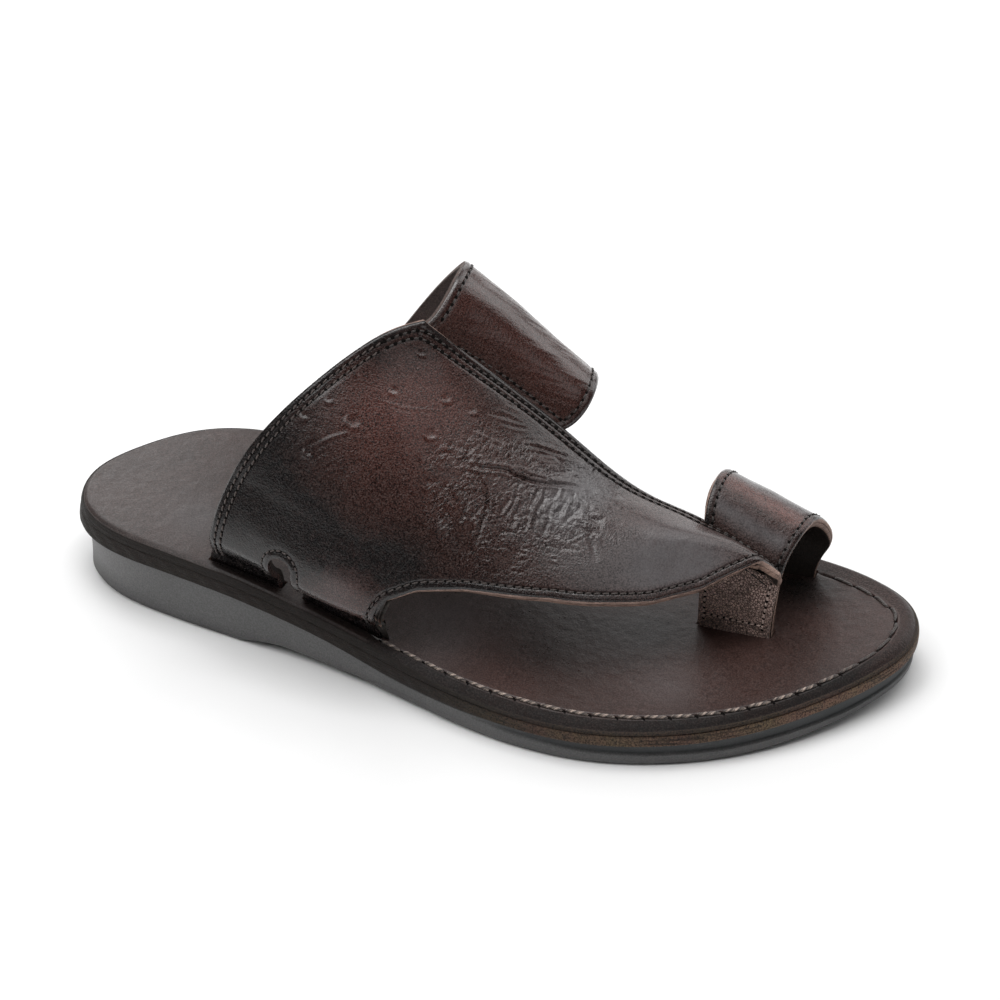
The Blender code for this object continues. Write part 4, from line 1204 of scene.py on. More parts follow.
def bevel_width(x, inner):
    """The rim falls away straight from the seam on the outer side, and only
    close to the edge on the inner side."""
    wide = seam_inset(x, False) + 0.5
    narrow = 3.0 + 0 * x
    share = np.where(inner, 1.0, soft_step(x, 255, 276))
    return wide * (1 - share) + narrow * share


def roll(x):
    return ROLL_DROP * soft_step(x, ROLL_START, ROLL_FULL)


def bed_drop(x, d, inner):
    """Drop of the footbed's top at a distance d inside its rim."""
    r = roll(x)
    w = bevel_width(x, inner)
    fall = r * np.clip(1 - d / w, 0, 1) ** 1.25
    edge = (0.45 + 0.35 * (1 - soft_step(x, 60, 130))) * np.exp(-(d / 0.8) ** 2)
    return fall + edge


def footbed_piece(cutters):
    m = 240
    inner = np.arange(2 * m) > m
    xs = outline_stations(m)[0][:, 0]
    inset = seam_inset(xs, inner)

    def side(f, z):
        def stand(x):
            share = f + (max(f, 0.70 - 0.2 * z) - f) * (1 - soft_step(x, 100, 170)) * (z < 0.3)
            return column(SIDE, 1, x) * share
        return stand, lambda x: insole_bottom(x) + z * (footbed(x) - roll(x) - 0.45 - insole_bottom(x))
    rings = [side(0.35, 0.0), side(0.58, 0.06), side(0.66, 0.16), side(0.62, 0.32), side(0.55, 0.50), side(0.46, 0.66), side(0.34, 0.80), side(0.20, 0.92)]
    sides = len(rings)
    steps = [f * (inset - 0.85) for f in (0, .03, .07, .12, .18, .25, .33, .42, .52, .62, .72, .82, .91)]
    steps += [inset + c for c in (-.85, -.65, -.5, -.38, -.27, -.15, 0.0, .15, .27, .38, .5, .65, .85, 1.2, 1.8, 2.8, 4.5, 7.0, 10.0, 13.5)]
    for d in steps:
        def height(x, d=d):
            stitched = np.where(inner, soft_step(x, BED_STITCH_TO - 4, BED_STITCH_TO), soft_step(x, BED_STITCH_FROM - 4, BED_STITCH_FROM))
            groove = CHANNEL * np.exp(-((d - inset) / 0.42) ** 2) * stitched
            return footbed(x) - bed_drop(x, d, inner) - groove
        rings.append((lambda x, d=d: -d, height))
    mats = [1] * sides + [3] * 12 + [0] * (len(rings) - sides - 12)
    obj = wrap("footbed_leather", rings, m, [BED_LEATHER, SOLE_EDGE, RAW, BED_RIM], mats, across=26, sharp=60, top=footbed)
    cut(obj, cutters)
    obj.data.shade_smooth()
    obj.data.set_sharp_from_angle(angle=math.radians(55))
    p = positions(obj)
    for face in obj.data.polygons:              # the bevel starts in front of the straps
        if face.material_index == 3 and p[face.vertices[0], 0] < 112.0:
            face.material_index = 0
    set_attribute(obj, "raw", rawness(p) * 0.8)
    front = soft_step(p[:, 0], 150, 215)
    rim, _ = outline_dense(500)
    d = np.full(len(p), 1e3)
    for k in range(0, len(rim), 1):
        d = np.minimum(d, np.hypot(p[:, 0] - rim[k, 0], p[:, 1] - rim[k, 1]))
    # reddish rubbed tone, with painted light in some patches
    rub_and_painted_light = 0.45 * front + 0.10
    for x, y, reach, strength in BED_RUB_AND_PAINTED_LIGHT:
        rub_and_painted_light = rub_and_painted_light + strength * np.exp(-((p[:, 0] - x) ** 2 + (p[:, 1] - y) ** 2) / reach ** 2)
    set_attribute(obj, "rub_and_painted_light", np.clip(rub_and_painted_light, 0, 1))
    bevel = (p[:, 1] < 12) * soft_step(p[:, 0], 96, 130) * (1 - soft_step(p[:, 0], 262, 276))
    burnish_and_painted_shade = np.maximum(0.30 * np.exp(-(d / 3.0) ** 2), 0.75 * bevel * (1 - soft_step(d, 2.6, 4.4)))
    set_attribute(obj, "matte", np.maximum(bevel * (1 - soft_step(d, 2.8, 4.6)), 0.8 * (1 - soft_step(p[:, 0], 90, 130)) * np.exp(-(d / 1.5) ** 2)))
    for x, y, reach, strength in BED_BURNT:
        burnish_and_painted_shade = np.maximum(burnish_and_painted_shade, strength * np.exp(-((p[:, 0] - x) ** 2 + (p[:, 1] - y) ** 2) / reach ** 2))
    # painted shadow cast by the straps' tabs on the footbed, out to its rim
    for x0, x1 in (REAR_TAB, FRONT_TAB):
        foot = np.interp(p[:, 0], [54.5, 71.0, 83.0, 97.0, 112.0], [-34.6, -35.6, -36.9, -39.1, -42.1])
        away = np.clip(foot - p[:, 1], 0, None)
        along_tab = soft_step(p[:, 0], x0 * GX - 4.0, x0 * GX + 3.0) * (1 - soft_step(p[:, 0], x1 * GX - 2.5, x1 * GX + 5.0))
        burnish_and_painted_shade = np.maximum(burnish_and_painted_shade, 0.85 * along_tab * np.exp(-(away / 5.0) ** 2) * (p[:, 1] < foot + 3))
    set_attribute(obj, "burnish_and_painted_shade", burnish_and_painted_shade)
    # painted sheen
    painted_sheen = np.zeros(len(p))
    for x, y, reach, strength in BED_PAINTED_SHEEN:
        painted_sheen = painted_sheen + strength * np.exp(-((p[:, 0] - x) ** 2 + (p[:, 1] - y) ** 2) / reach ** 2)
    set_attribute(obj, "painted_sheen", np.clip(painted_sheen, 0, 1))
    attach(obj, "root")
    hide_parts("insole")
    return obj


# patches on the footbed: x, y, reach in mm, strength
# reddish rubbed patches; some are painted light where the vamp's shade falls
BED_RUB_AND_PAINTED_LIGHT = (
    (140.0, -38.0, 12.0, 0.60),
    (158.0, -47.0, 10.0, 0.50),
    (205.0, -20.0, 10.0, 0.30),
    (134.0, -24.0, 16.0, 0.60),
    (166.0, -50.0, 10.0, 0.50),
    (150.0, -30.0, 20.0, 0.35),
    (185.0, -28.0, 16.0, 0.35),
    (225.0, -15.0, 18.0, 0.30),
    (252.0,  12.0, 14.0, 0.25),
)
# painted sheen on the footbed: a grey reflection painted into the colour
BED_PAINTED_SHEEN = (
    (137.0, -40.0, 9.0,  0.22),
    (207.0, -33.0, 10.0, 0.18),
    (134.0, -26.0, 14.0, 0.42),
    (193.0, -10.0, 12.0, 0.32),
    (43.0,  -16.0, 13.0, 0.40),
    (160.0, -10.0, 14.0, 0.10),
    (214.0, -34.0, 12.0, 0.10),
)
BED_BURNT = (
    (155.0, -14.0, 10.0, 0.30),
    (168.0, -28.0, 12.0, 0.45),
    (243.0,   2.0, 12.0, 0.35),
    (16.0,    3.0, 30.0, 0.20),
    (160.0, -20.0, 26.0, 0.15),
    (196.0,  -2.0, 12.0, 0.40),
    (236.0,  30.0, 12.0, 0.85),
    (222.0,  10.0, 12.0, 0.60),
    (120.0, -10.0, 30.0, 0.25),
)




# -------------------------------------------------------------------- upper
OUTER_LEATHER = 1.6        # of the strap's wall; the rest is lining
PLY_GAP = 0.10

# creases pressed and worn into the vamp: half width and depth in mm (a minus
# sign makes a raised fold), then the line in shares of the vamp: across (rear
# edge 0, tip 1), up (footbed 0, ridge 1)
VAMP_CREASES = (
    # width  depth  line
    (0.45,  -0.20,  ((0.223, 0.733), (0.247, 0.753), (0.273, 0.770), (0.295, 0.787))),
    (0.55,   0.26,  ((0.300, 0.825), (0.312, 0.853), (0.325, 0.873), (0.333, 0.905))),
    (0.45,   0.18,  ((0.315, 0.815), (0.328, 0.845), (0.338, 0.875))),
    (0.62,   0.50,  ((0.285, 0.675), (0.302, 0.695), (0.320, 0.720), (0.333, 0.738), (0.352, 0.750), (0.372, 0.765), (0.393, 0.790), (0.408, 0.818), (0.420, 0.843))),
    (0.45,   0.32,  ((0.333, 0.753), (0.352, 0.765), (0.372, 0.782), (0.395, 0.812))),
    (0.60,   0.36,  ((0.295, 0.670), (0.318, 0.680), (0.340, 0.677), (0.362, 0.667), (0.385, 0.642), (0.408, 0.603), (0.425, 0.573))),
    (0.45,  -0.22,  ((0.300, 0.787), (0.330, 0.772), (0.343, 0.768))),
    (0.50,   0.26,  ((0.338, 0.865), (0.352, 0.868), (0.365, 0.875))),
    (0.45,   0.22,  ((0.275, 0.688), (0.288, 0.685))),
    # folds hanging down below the long crease
    (0.55,  -0.34,  ((0.372, 0.680), (0.388, 0.672), (0.403, 0.660))),
    (0.50,  -0.34,  ((0.383, 0.723), (0.398, 0.700), (0.408, 0.667))),
    (0.55,  -0.42,  ((0.388, 0.733), (0.403, 0.710), (0.420, 0.670))),
    (0.50,  -0.28,  ((0.438, 0.677), (0.450, 0.652))),
    (0.50,  -0.32,  ((0.393, 0.765), (0.408, 0.743))),
    (0.60,  -0.46,  ((0.408, 0.772), (0.422, 0.750), (0.430, 0.730), (0.448, 0.703), (0.470, 0.665))),
    (0.50,  -0.30,  ((0.427, 0.743), (0.455, 0.728), (0.478, 0.710))),
    (0.55,   0.30,  ((0.475, 0.713), (0.495, 0.677))),
    (0.50,  -0.30,  ((0.453, 0.770), (0.463, 0.738))),
    (0.65,  -0.46,  ((0.453, 0.800), (0.478, 0.760), (0.490, 0.733))),
    (0.50,  -0.36,  ((0.470, 0.790), (0.492, 0.750))),
    (0.60,  -0.42,  ((0.440, 0.830), (0.468, 0.800), (0.490, 0.765))),
    (0.45,  -0.28,  ((0.410, 0.818), (0.425, 0.802), (0.440, 0.782))),
    (0.55,   0.22,  ((0.333, 0.647), (0.352, 0.618), (0.370, 0.590))),
    (0.40,  -0.16,  ((0.550, 0.713), (0.552, 0.682), (0.547, 0.660))),
    (1.10,   0.42,  ((0.503, 0.792), (0.525, 0.768), (0.547, 0.765))),
    (1.00,   0.22,  ((0.540, 0.733), (0.578, 0.693), (0.618, 0.635))),
    (0.50,   0.14,  ((0.195, 0.902), (0.210, 0.925))),
    (0.50,   0.15,  ((0.208, 0.815), (0.225, 0.840), (0.242, 0.860))),
    (0.50,   0.15,  ((0.215, 0.838), (0.233, 0.863), (0.247, 0.873))),
    (0.50,   0.15,  ((0.235, 0.823), (0.253, 0.848), (0.260, 0.875))),
    # scratches
    (0.34,  -0.16,  ((0.092, 0.642), (0.112, 0.655), (0.135, 0.667), (0.173, 0.718), (0.190, 0.740))),
    (0.50,  -0.20,  ((0.077, 0.430), (0.090, 0.480), (0.103, 0.520), (0.122, 0.555))),
    (0.50,  -0.20,  ((0.100, 0.415), (0.111, 0.450), (0.122, 0.482))),
    (0.50,  -0.17,  ((0.060, 0.430), (0.072, 0.490))),
    (0.40,  -0.10,  ((0.118, 0.395), (0.136, 0.440), (0.150, 0.470))),
    (0.40,  -0.08,  ((0.130, 0.372), (0.150, 0.415))),
)
# hide marks: centre in the same shares, radius in mm, opening direction in degrees
HIDE_MARKS = (
    # across  up     radius  facing
    (0.060,   0.850, 1.2,    250),
    (0.103,   0.693, 1.4,    240),
    (0.160,   0.768, 1.9,    250),
    (0.200,   0.792, 1.4,    260),
    (0.045,   0.590, 1.0,    250),
    (0.035,   0.532, 1.3,    240),
    (0.105,   0.575, 2.4,    220),
    (0.205,   0.668, 1.9,    250),
    (0.242,   0.680, 1.2,    250),
    (0.280,   0.718, 1.3,    230),
    (0.088,   0.460, 1.6,    230),
)
# dimples: centre in the same shares, radius in mm
DIMPLES = (
    (0.307, 0.633, 0.6), (0.320, 0.645, 0.6), (0.333, 0.650, 0.5), (0.450, 0.620, 0.6), (0.500, 0.613, 0.7),
    (0.450, 0.580, 0.5), (0.527, 0.525, 0.7), (0.370, 0.590, 0.6), (0.403, 0.642, 0.6), (0.380, 0.708, 0.5),
    (0.300, 0.585, 0.6), (0.345, 0.555, 0.5), (0.415, 0.520, 0.5), (0.470, 0.540, 0.5), (0.560, 0.600, 0.6),
    (0.255, 0.610, 0.5), (0.215, 0.560, 0.4), (0.345, 0.700, 0.5),
)
# crumpled patch: centre (across, up), reach in mm, strength
CRUMPLES = (
    (0.462, 0.775, 9.0,  0.95),
    (0.360, 0.690, 15.0, 0.95),
    (0.430, 0.730, 15.0, 1.10),
    (0.290, 0.650, 12.0, 0.60),
    (0.250, 0.700, 8.0,  0.35),
    (0.430, 0.640, 13.0, 0.60),
    (0.340, 0.590, 13.0, 0.40),
    (0.330, 0.850, 8.0,  0.45),
    (0.440, 0.835, 11.0, 0.85),
    (0.400, 0.890, 8.0,  0.55),
    (0.500, 0.800, 9.0,  0.55),
)
# burnish (black) spots, then painted sheen spots and rubbed (reddish) spots on the vamp: centre, reach mm, strength
BURNISH = (
    (0.010, 0.330, 15.0, 0.95),
    (0.000, 0.480, 11.0, 0.75),
    (0.060, 0.300, 14.0, 0.80),
    (0.130, 0.300, 13.0, 0.95),
    (0.170, 0.255, 9.0,  0.60),
    (0.205, 0.300, 11.0, 0.85),
    (0.265, 0.350, 11.0, 0.55),
    (0.345, 0.415, 11.0, 0.60),
    (0.000, 0.200, 16.0, 0.70),
    (0.100, 0.180, 14.0, 0.70),
    (0.200, 0.160, 14.0, 0.45),
    (0.000, 0.620, 8.0,  0.60),
    (0.020, 0.760, 8.0,  0.50),
    (0.055, 0.880, 10.0, 0.55),
    (0.330, 0.330, 12.0, 0.35),
    (0.150, 0.930, 8.0,  0.40),
    (0.240, 0.930, 9.0,  0.55),
    (0.330, 0.940, 9.0,  0.55),
    (0.420, 0.950, 8.0,  0.40),
    (0.085, 0.480, 12.0, 0.35),
    (0.170, 0.430, 13.0, 0.25),
    (0.420, 0.340, 14.0, 0.35),
    (0.520, 0.420, 16.0, 0.40),
    (0.640, 0.480, 16.0, 0.30),
)
# painted sheen: grey highlight painted into the leather's colour
PAINTED_SHEEN_SPOTS = (
    (0.620, 0.600, 13.0, 0.25),
    (0.680, 0.800, 12.0, 0.25),
    (0.700, 0.640, 14.0, 0.45),
    (0.760, 0.560, 13.0, 0.50),
    (0.800, 0.660, 12.0, 0.50),
    (0.860, 0.560, 12.0, 0.45),
    (0.470, 0.760, 7.0,  0.50),
    (0.430, 0.760, 11.0, 0.38),
    (0.405, 0.890, 9.0,  0.65),
    (0.455, 0.840, 9.0,  0.45),
    (0.290, 0.235, 7.0,  0.35),
)
RUBBED = (
    (0.140, 0.470, 16.0, 0.15),
    (0.150, 0.730, 15.0, 1.00),
    (0.220, 0.540, 20.0, 0.15),
    (0.290, 0.260, 12.0, 1.00),
    (0.100, 0.620, 14.0, 0.60),
    (0.250, 0.560, 18.0, 0.15),
    (0.760, 0.700, 14.0, 0.30),
)


def spots(p, s, table):
    total = np.zeros(len(p))
    for u, v, reach, strength in table:
        c = points_of(s, [u], [v])[0]
        total += strength * np.exp(-((p - c) ** 2).sum(1) / (reach ** 2))
    return np.clip(total, 0, 1)


def crease_field(s, p, table, surface_reach=6.0):
    """Height to add at each point: soft troughs with small raised lips."""
    h = np.zeros(len(p))
    for width, depth, line in table:
        uv = along(line, 8)
        q = points_of(s, uv[:, 0], uv[:, 1])
        d, w = line_distance(p, q, surface_reach)
        near = d < 1e5
        fade = np.sin(math.pi * np.clip(w[near], 0.02, 0.98)) ** 0.6
        x = d[near] / width
        bold = 1.5 if abs(depth) > 0.2 else 0.95
        h[near] += bold * depth * fade * (-np.exp(-x ** 2) + 0.55 * np.exp(-(x - 2.0) ** 2))
    return h


def crumple_field(s, p, table):
    """Network of small wrinkles inside the crumpled patches, longer down the
    vamp than across it."""
    mask = spots(p, s, table)
    near = np.where(mask > 0.02)[0]
    for k in near:
        x, y, z = p[k]
        mask[k] *= np.clip(0.72 + 1.2 * noise.noise(Vector((x / 6.5, y / 6.5, z / 6.5 + 4.0))), 0, 1.15)
    h = np.zeros(len(p))
    near = np.where(mask > 0.03)[0]
    a, b = points_of(s, [0.408, 0.470], [0.772, 0.665])
    long = (b - a) / np.linalg.norm(b - a)
    short = np.cross(normals_of(s, [0.43], [0.72])[0], long)
    for across, down, depth, width in ((2.4, 4.6, 0.34, 0.17), (1.35, 2.2, 0.13, 0.22)):
        for k in near:
            x, y, z = p[k]
            wob = 0.55 * noise.noise(Vector((x / 6, y / 6, z / 6)))
            dist, _ = noise.voronoi(Vector((p[k] @ short / across + wob, p[k] @ long / down + 0.6 * wob, across)))
            e = (dist[1] - dist[0]) / width
            h[k] += mask[k] * depth * (0.38 - math.exp(-e * e))
    return h, mask


def soft_dents(p, amount, scale, seed):
    return amount * np.array([noise.noise(Vector((x / scale + seed, y / scale, z / scale))) for x, y, z in p])


def marks_field(s, p, table, dimples):
    """Small healed rings with one raised side, and dimples."""
    h = np.zeros(len(p))
    for u, v, radius, facing in table:
        c = points_of(s, [u], [v])[0]
        n = normals_of(s, [u], [v])[0]
        a = np.cross([0.0, 0.0, 1.0], n)
        a /= np.linalg.norm(a)
        b = np.cross(n, a)
        q = p - c
        near = np.linalg.norm(q, axis=1) < radius * 3
        x, y = q[near] @ a, q[near] @ b
        r = np.hypot(x, y)
        ang = np.arctan2(y, x) - math.radians(facing)
        side = np.clip(np.cos(ang), 0, 1)
        h[near] += (0.48 * side ** 1.5 + 0.09) * np.exp(-((r - radius) / 0.42) ** 2) - 0.22 * np.exp(-(r / (radius * 0.8)) ** 2)
    for u, v, radius in dimples:
        r = np.linalg.norm(p - points_of(s, [u], [v])[0], axis=1)
        h += 0.16 * np.exp(-((r - radius * 1.3) / 0.4) ** 2) - 0.24 * np.exp(-(r / radius) ** 2)
    return h


def grid_normals(g):
    n = np.cross(np.gradient(g, axis=0), np.gradient(g, axis=1))
    return n / np.maximum(np.linalg.norm(n, axis=2), 1e-9)[:, :, None]


def crossing(dist, want):
    """First place along a line of distances where it passes want."""
    k = np.where((dist[:-1] < want) & (dist[1:] >= want))[0]
    if len(k) == 0:
        return None
    k = int(k[0])
    return k + (want - dist[k]) / (dist[k + 1] - dist[k])


def pick(g, i, j):
    """Grid point at a fractional place."""
    i0, j0 = int(min(i, g.shape[0] - 2)), int(min(j, g.shape[1] - 2))
    a, b = i - i0, j - j0
    return (g[i0, j0] * (1 - a) * (1 - b) + g[i0 + 1, j0] * a * (1 - b) + g[i0, j0 + 1] * (1 - a) * b + g[i0 + 1, j0 + 1] * a * b)


def settle(path, g, n, window=3.0, step=0.5):
    """Smooth a seam line and lay it back on its surface; gives points and
    normals."""
    path = resample(path, step)
    w = max(1, int(window / step))
    padded = np.vstack([np.repeat(path[:1], w, 0) , path, np.repeat(path[-1:], w, 0)])
    kernel = np.hanning(2 * w + 3)[1:-1]
    kernel /= kernel.sum()
    smooth = np.stack([np.convolve(padded[:, k], kernel, "same")[w:-w] for k in range(3)], 1)
    smooth[0], smooth[-1] = path[0], path[-1]
    flat, nf = g.reshape(-1, 3), n.reshape(-1, 3)
    pts, nor = [], []
    for q in smooth:
        k = int(np.argmin(((flat - q) ** 2).sum(1)))
        m = nf[k]
        pts.append(q - m * ((q - flat[k]) @ m))
        nor.append(m)
    return np.array(pts), np.array(nor)


class Seam:
    """Stitches of one kind: near-black discs of painted shade at the needle holes, and short lengths of thread."""

    def __init__(self):
        self.threads, self.holes = Joined(), Joined()

    def row(self, pts, nor, pitch, length, radius, hole, lift=0.0, phase=0.0, skew=0.0, tone=0.0):
        both = np.hstack([pts, nor])
        path = resample(both, 0.25)
        t = np.concatenate([[0], np.cumsum(np.linalg.norm(np.diff(path[:, :3], axis=0), axis=1))])
        n = max(1, int((t[-1] - phase * pitch) / pitch))
        for k in range(n + 1):
            at = (k + phase) * pitch
            if at > t[-1]:
                break
            p = np.array([np.interp(at, t, path[:, c]) for c in range(6)])
            q = np.array([np.interp(min(at + 0.3, t[-1]), t, path[:, c]) for c in range(3)])
            b = np.array([np.interp(max(at - 0.3, 0), t, path[:, c]) for c in range(3)])
            d = (q - b) / max(np.linalg.norm(q - b), 1e-9)
            m = p[3:] / np.linalg.norm(p[3:])
            side = np.cross(m, d)
            if hole:
                self.pit(p[:3] + m * 0.035, d, side, m, hole)
            mid = at + pitch / 2
            if length and mid + length / 2 <= t[-1]:
                s = np.linspace(-0.5, 0.5, 7)
                line = []
                for w in s:
                    a = mid + w * length
                    r = np.array([np.interp(a, t, path[:, c]) for c in range(6)])
                    line.append(r[:3] + r[3:] * (lift + radius * (0.75 - 2.6 * w * w * 1.2)) + side * (skew * w * 2))
                r = radius * np.array([0.55, 0.88, 1.0, 1.04, 1.0, 0.88, 0.55])
                v, f = tube(line, r, 7, 0.85, np.tile(m, (7, 1)))
                self.threads.add(v, f, tone)

    def pit(self, c, d, side, m, size):
        a = np.arange(10) * 2 * math.pi / 10
        rim = c + d * (size[0] * np.cos(a))[:, None] + side * (size[1] * np.sin(a))[:, None] - m * 0.01
        mid = c + d * (0.5 * size[0] * np.cos(a))[:, None] + side * (0.5 * size[1] * np.sin(a))[:, None]
        low = rim - m * 0.25
        verts = np.vstack([low, rim, mid, c[None]])
        faces = [(k, (k + 1) % 10, 10 + (k + 1) % 10, 10 + k) for k in range(10)]
        faces += [(10 + k, 10 + (k + 1) % 10, 20 + (k + 1) % 10, 20 + k) for k in range(10)]
        faces += [(20 + k, 20 + (k + 1) % 10, 30) for k in range(10)]
        faces += [tuple(range(10))[::-1]]
        self.holes.add(verts, faces)


def ready(obj, node="upper"):
    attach(obj, "root")
    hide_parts(node)
    return obj


def dense(lo, hi, count, bumps):
    """count values from lo to hi, closer together inside the bumps
    (centre, reach, weight)."""
    x = np.linspace(lo, hi, 4001)
    w = np.ones_like(x)
    for c, r, k in bumps:
        w += k * np.exp(-((x - c) / r) ** 2)
    t = np.concatenate([[0], np.cumsum((w[1:] + w[:-1]) / 2)])
    return np.interp(np.linspace(0, t[-1], count), t, x)


def bar_cutter(name, x, z0, z1, width, y0, y1, materials):
    r = width / 2
    side = [(x - r, z0), (x + r, z0)]
    side += [(x + r * math.cos(a), z1 - r + r * math.sin(a)) for a in np.linspace(0, math.pi, 33)]
    k = len(side)
    verts = [(a, y0, b) for a, b in side] + [(a, y1, b) for a, b in side]
    faces = [(i, (i + 1) % k, k + (i + 1) % k, k + i) for i in range(k)]
    faces += [tuple(range(k))[::-1], tuple(range(k, 2 * k))]
    obj = new_object(name, verts, faces, materials, smooth=False)
    bm = bmesh.new()
    bm.from_mesh(obj.data)
    bmesh.ops.recalc_face_normals(bm, faces=bm.faces)
    bm.to_mesh(obj.data)
    bm.free()
    return obj


def u_at_root(surface, x, v=0.0):
    us = np.linspace(0, 1, 201)
    xs = grid_of(surface, us, [v])[:, 0, 0]
    return float(np.interp(x, xs, us))


def slot_cutter(name, surface, us, at_start, wall_thick):
    """A little larger all round than a strap's end in the footbed."""
    rows = []
    for u in us:
        v = surface.tv[1] if at_start else surface.tv[-2]
        e = 0.0 if at_start else 1.0
        top = points_of(surface, [u], [v])[0]
        low = points_of(surface, [u], [e])[0]
        rows.append((top[:2] + low[:2]) / 2)
    line = np.array(rows)
    d = np.gradient(line, axis=0)
    d /= np.linalg.norm(d, axis=1)[:, None]
    out = np.stack([d[:, 1], -d[:, 0]], 1) * (1 if at_start else -1)
    line[0] -= d[0] * (SLOT_PLAY + 0.25)
    line[-1] += d[-1] * (SLOT_PLAY + 0.25)
    loop = np.vstack([line + out * (SLOT_PLAY + 0.15), (line - out * (wall_thick + SLOT_PLAY + 0.15))[::-1]])
    k = len(loop)
    verts = [(x, y, 5.0) for x, y in loop] + [(x, y, 40.0) for x, y in loop]
    faces = [(i, (i + 1) % k, k + (i + 1) % k, k + i) for i in range(k)]
    faces += [tuple(range(k))[::-1], tuple(range(k, 2 * k))]
    obj = new_object(name, verts, faces, [RAW], smooth=False)
    bm = bmesh.new()
    bm.from_mesh(obj.data)
    bmesh.ops.recalc_face_normals(bm, faces=bm.faces)
    bm.to_mesh(obj.data)
    bm.free()
    return obj


VAMP, BAND, LOOP = vamp_surface(), band_surface(), loop_surface()
U_TAB = u_at_root(VAMP, FRONT_TAB[1] * GX)
NOTCH_X = (REAR_TAB[1] + FRONT_TAB[0]) / 2 * GX


def vamp_grid(us, nv):
    """Base points of the vamp, and its normals."""
    rows, normals, tip = [], [], 0.0
    for u in us:
        v0 = toe_edge_v(VAMP, u) if u > U_TAB + 1e-6 else 0.0
        if u > 0.9:
            v0 = tip = max(v0, tip)
        vs = v0 + (1 - v0) * np.linspace(0, 1, nv)
        rows.append(grid_of(VAMP, [u], vs)[0])
        normals.append(normals_of(VAMP, np.full(nv, u), vs))
    return np.array(rows), np.array(normals)


def bevelled(back, base, first, amount):
    """Push the inner side of a cut edge out along the toe edge and the tip,
    so that the cut faces up a little."""
    back = back.copy()
    out = base[:, 0] - base[:, 1]
    out /= np.linalg.norm(out, axis=1)[:, None]
    share = soft_step(np.arange(len(base)) - first, 0.5, 12)
    back[:, 0] += out * (amount * share)[:, None]
    out = base[-1] - base[-2]
    out /= np.linalg.norm(out, axis=1)[:, None]
    back[-1] += out * amount * 0.5
    return back


def tucked(g, n):
    """The vamp runs down almost straight to the tabs, which turn in sharply a
    little above the footbed."""
    rise = g[:, :, 2] - footbed(g[:, :, 0].reshape(-1)).reshape(g.shape[:2])
    turn = 0.25 * np.exp(-((rise - 10.5) / 1.9) ** 2) - 0.75 * np.exp(-((rise - 4.6) / 2.4) ** 2)
    slope = 1 - soft_step(rise, 15.5, 38.0)
    flare = 3.0 * slope * np.where(rise < 15.5, np.exp(-((rise - 15.5) / 4.6) ** 2), 1.0)
    end = FRONT_TAB[1] * GX
    turn = turn + flare * (1 - soft_step(g[:, :, 0], end - 4, end + 36))
    return g + n * turn[:, :, None], rise


def vamp_samples(count):
    us = dense(0, 1, count, ((U_TAB + 0.008, 0.012, 9.0), (0.36, 0.12, 0.35), (0.97, 0.05, 0.6)))
    us[int(np.argmin(np.abs(us - U_TAB)))] = U_TAB
    return us


# the vamp's two rows of stitches: inset from the rear edge and from the ridge
ROWS = ((2.0, 2.1), (4.1, 4.4))


def notch_outline(stand, legs):
    r = NOTCH_WIDTH / 2 + stand
    z = NOTCH_TOP - NOTCH_WIDTH / 2
    line = [(NOTCH_X - r, z - d) for d in legs]
    line += [(NOTCH_X + r * math.cos(a), z + r * math.sin(a)) for a in np.linspace(math.pi, 0, 21)]
    return line + [(NOTCH_X + r, z - d) for d in legs[::-1]]


def notch_distance(p):
    """How far each point lies outside the keyhole notch, seen from the side."""
    r, z = NOTCH_WIDTH / 2, NOTCH_TOP - NOTCH_WIDTH / 2
    dx, dz = p[:, 0] - NOTCH_X, np.maximum(p[:, 2] - z, 0)
    return np.where(p[:, 1] < -20, np.abs(np.hypot(dx, dz) - r), 50.0)


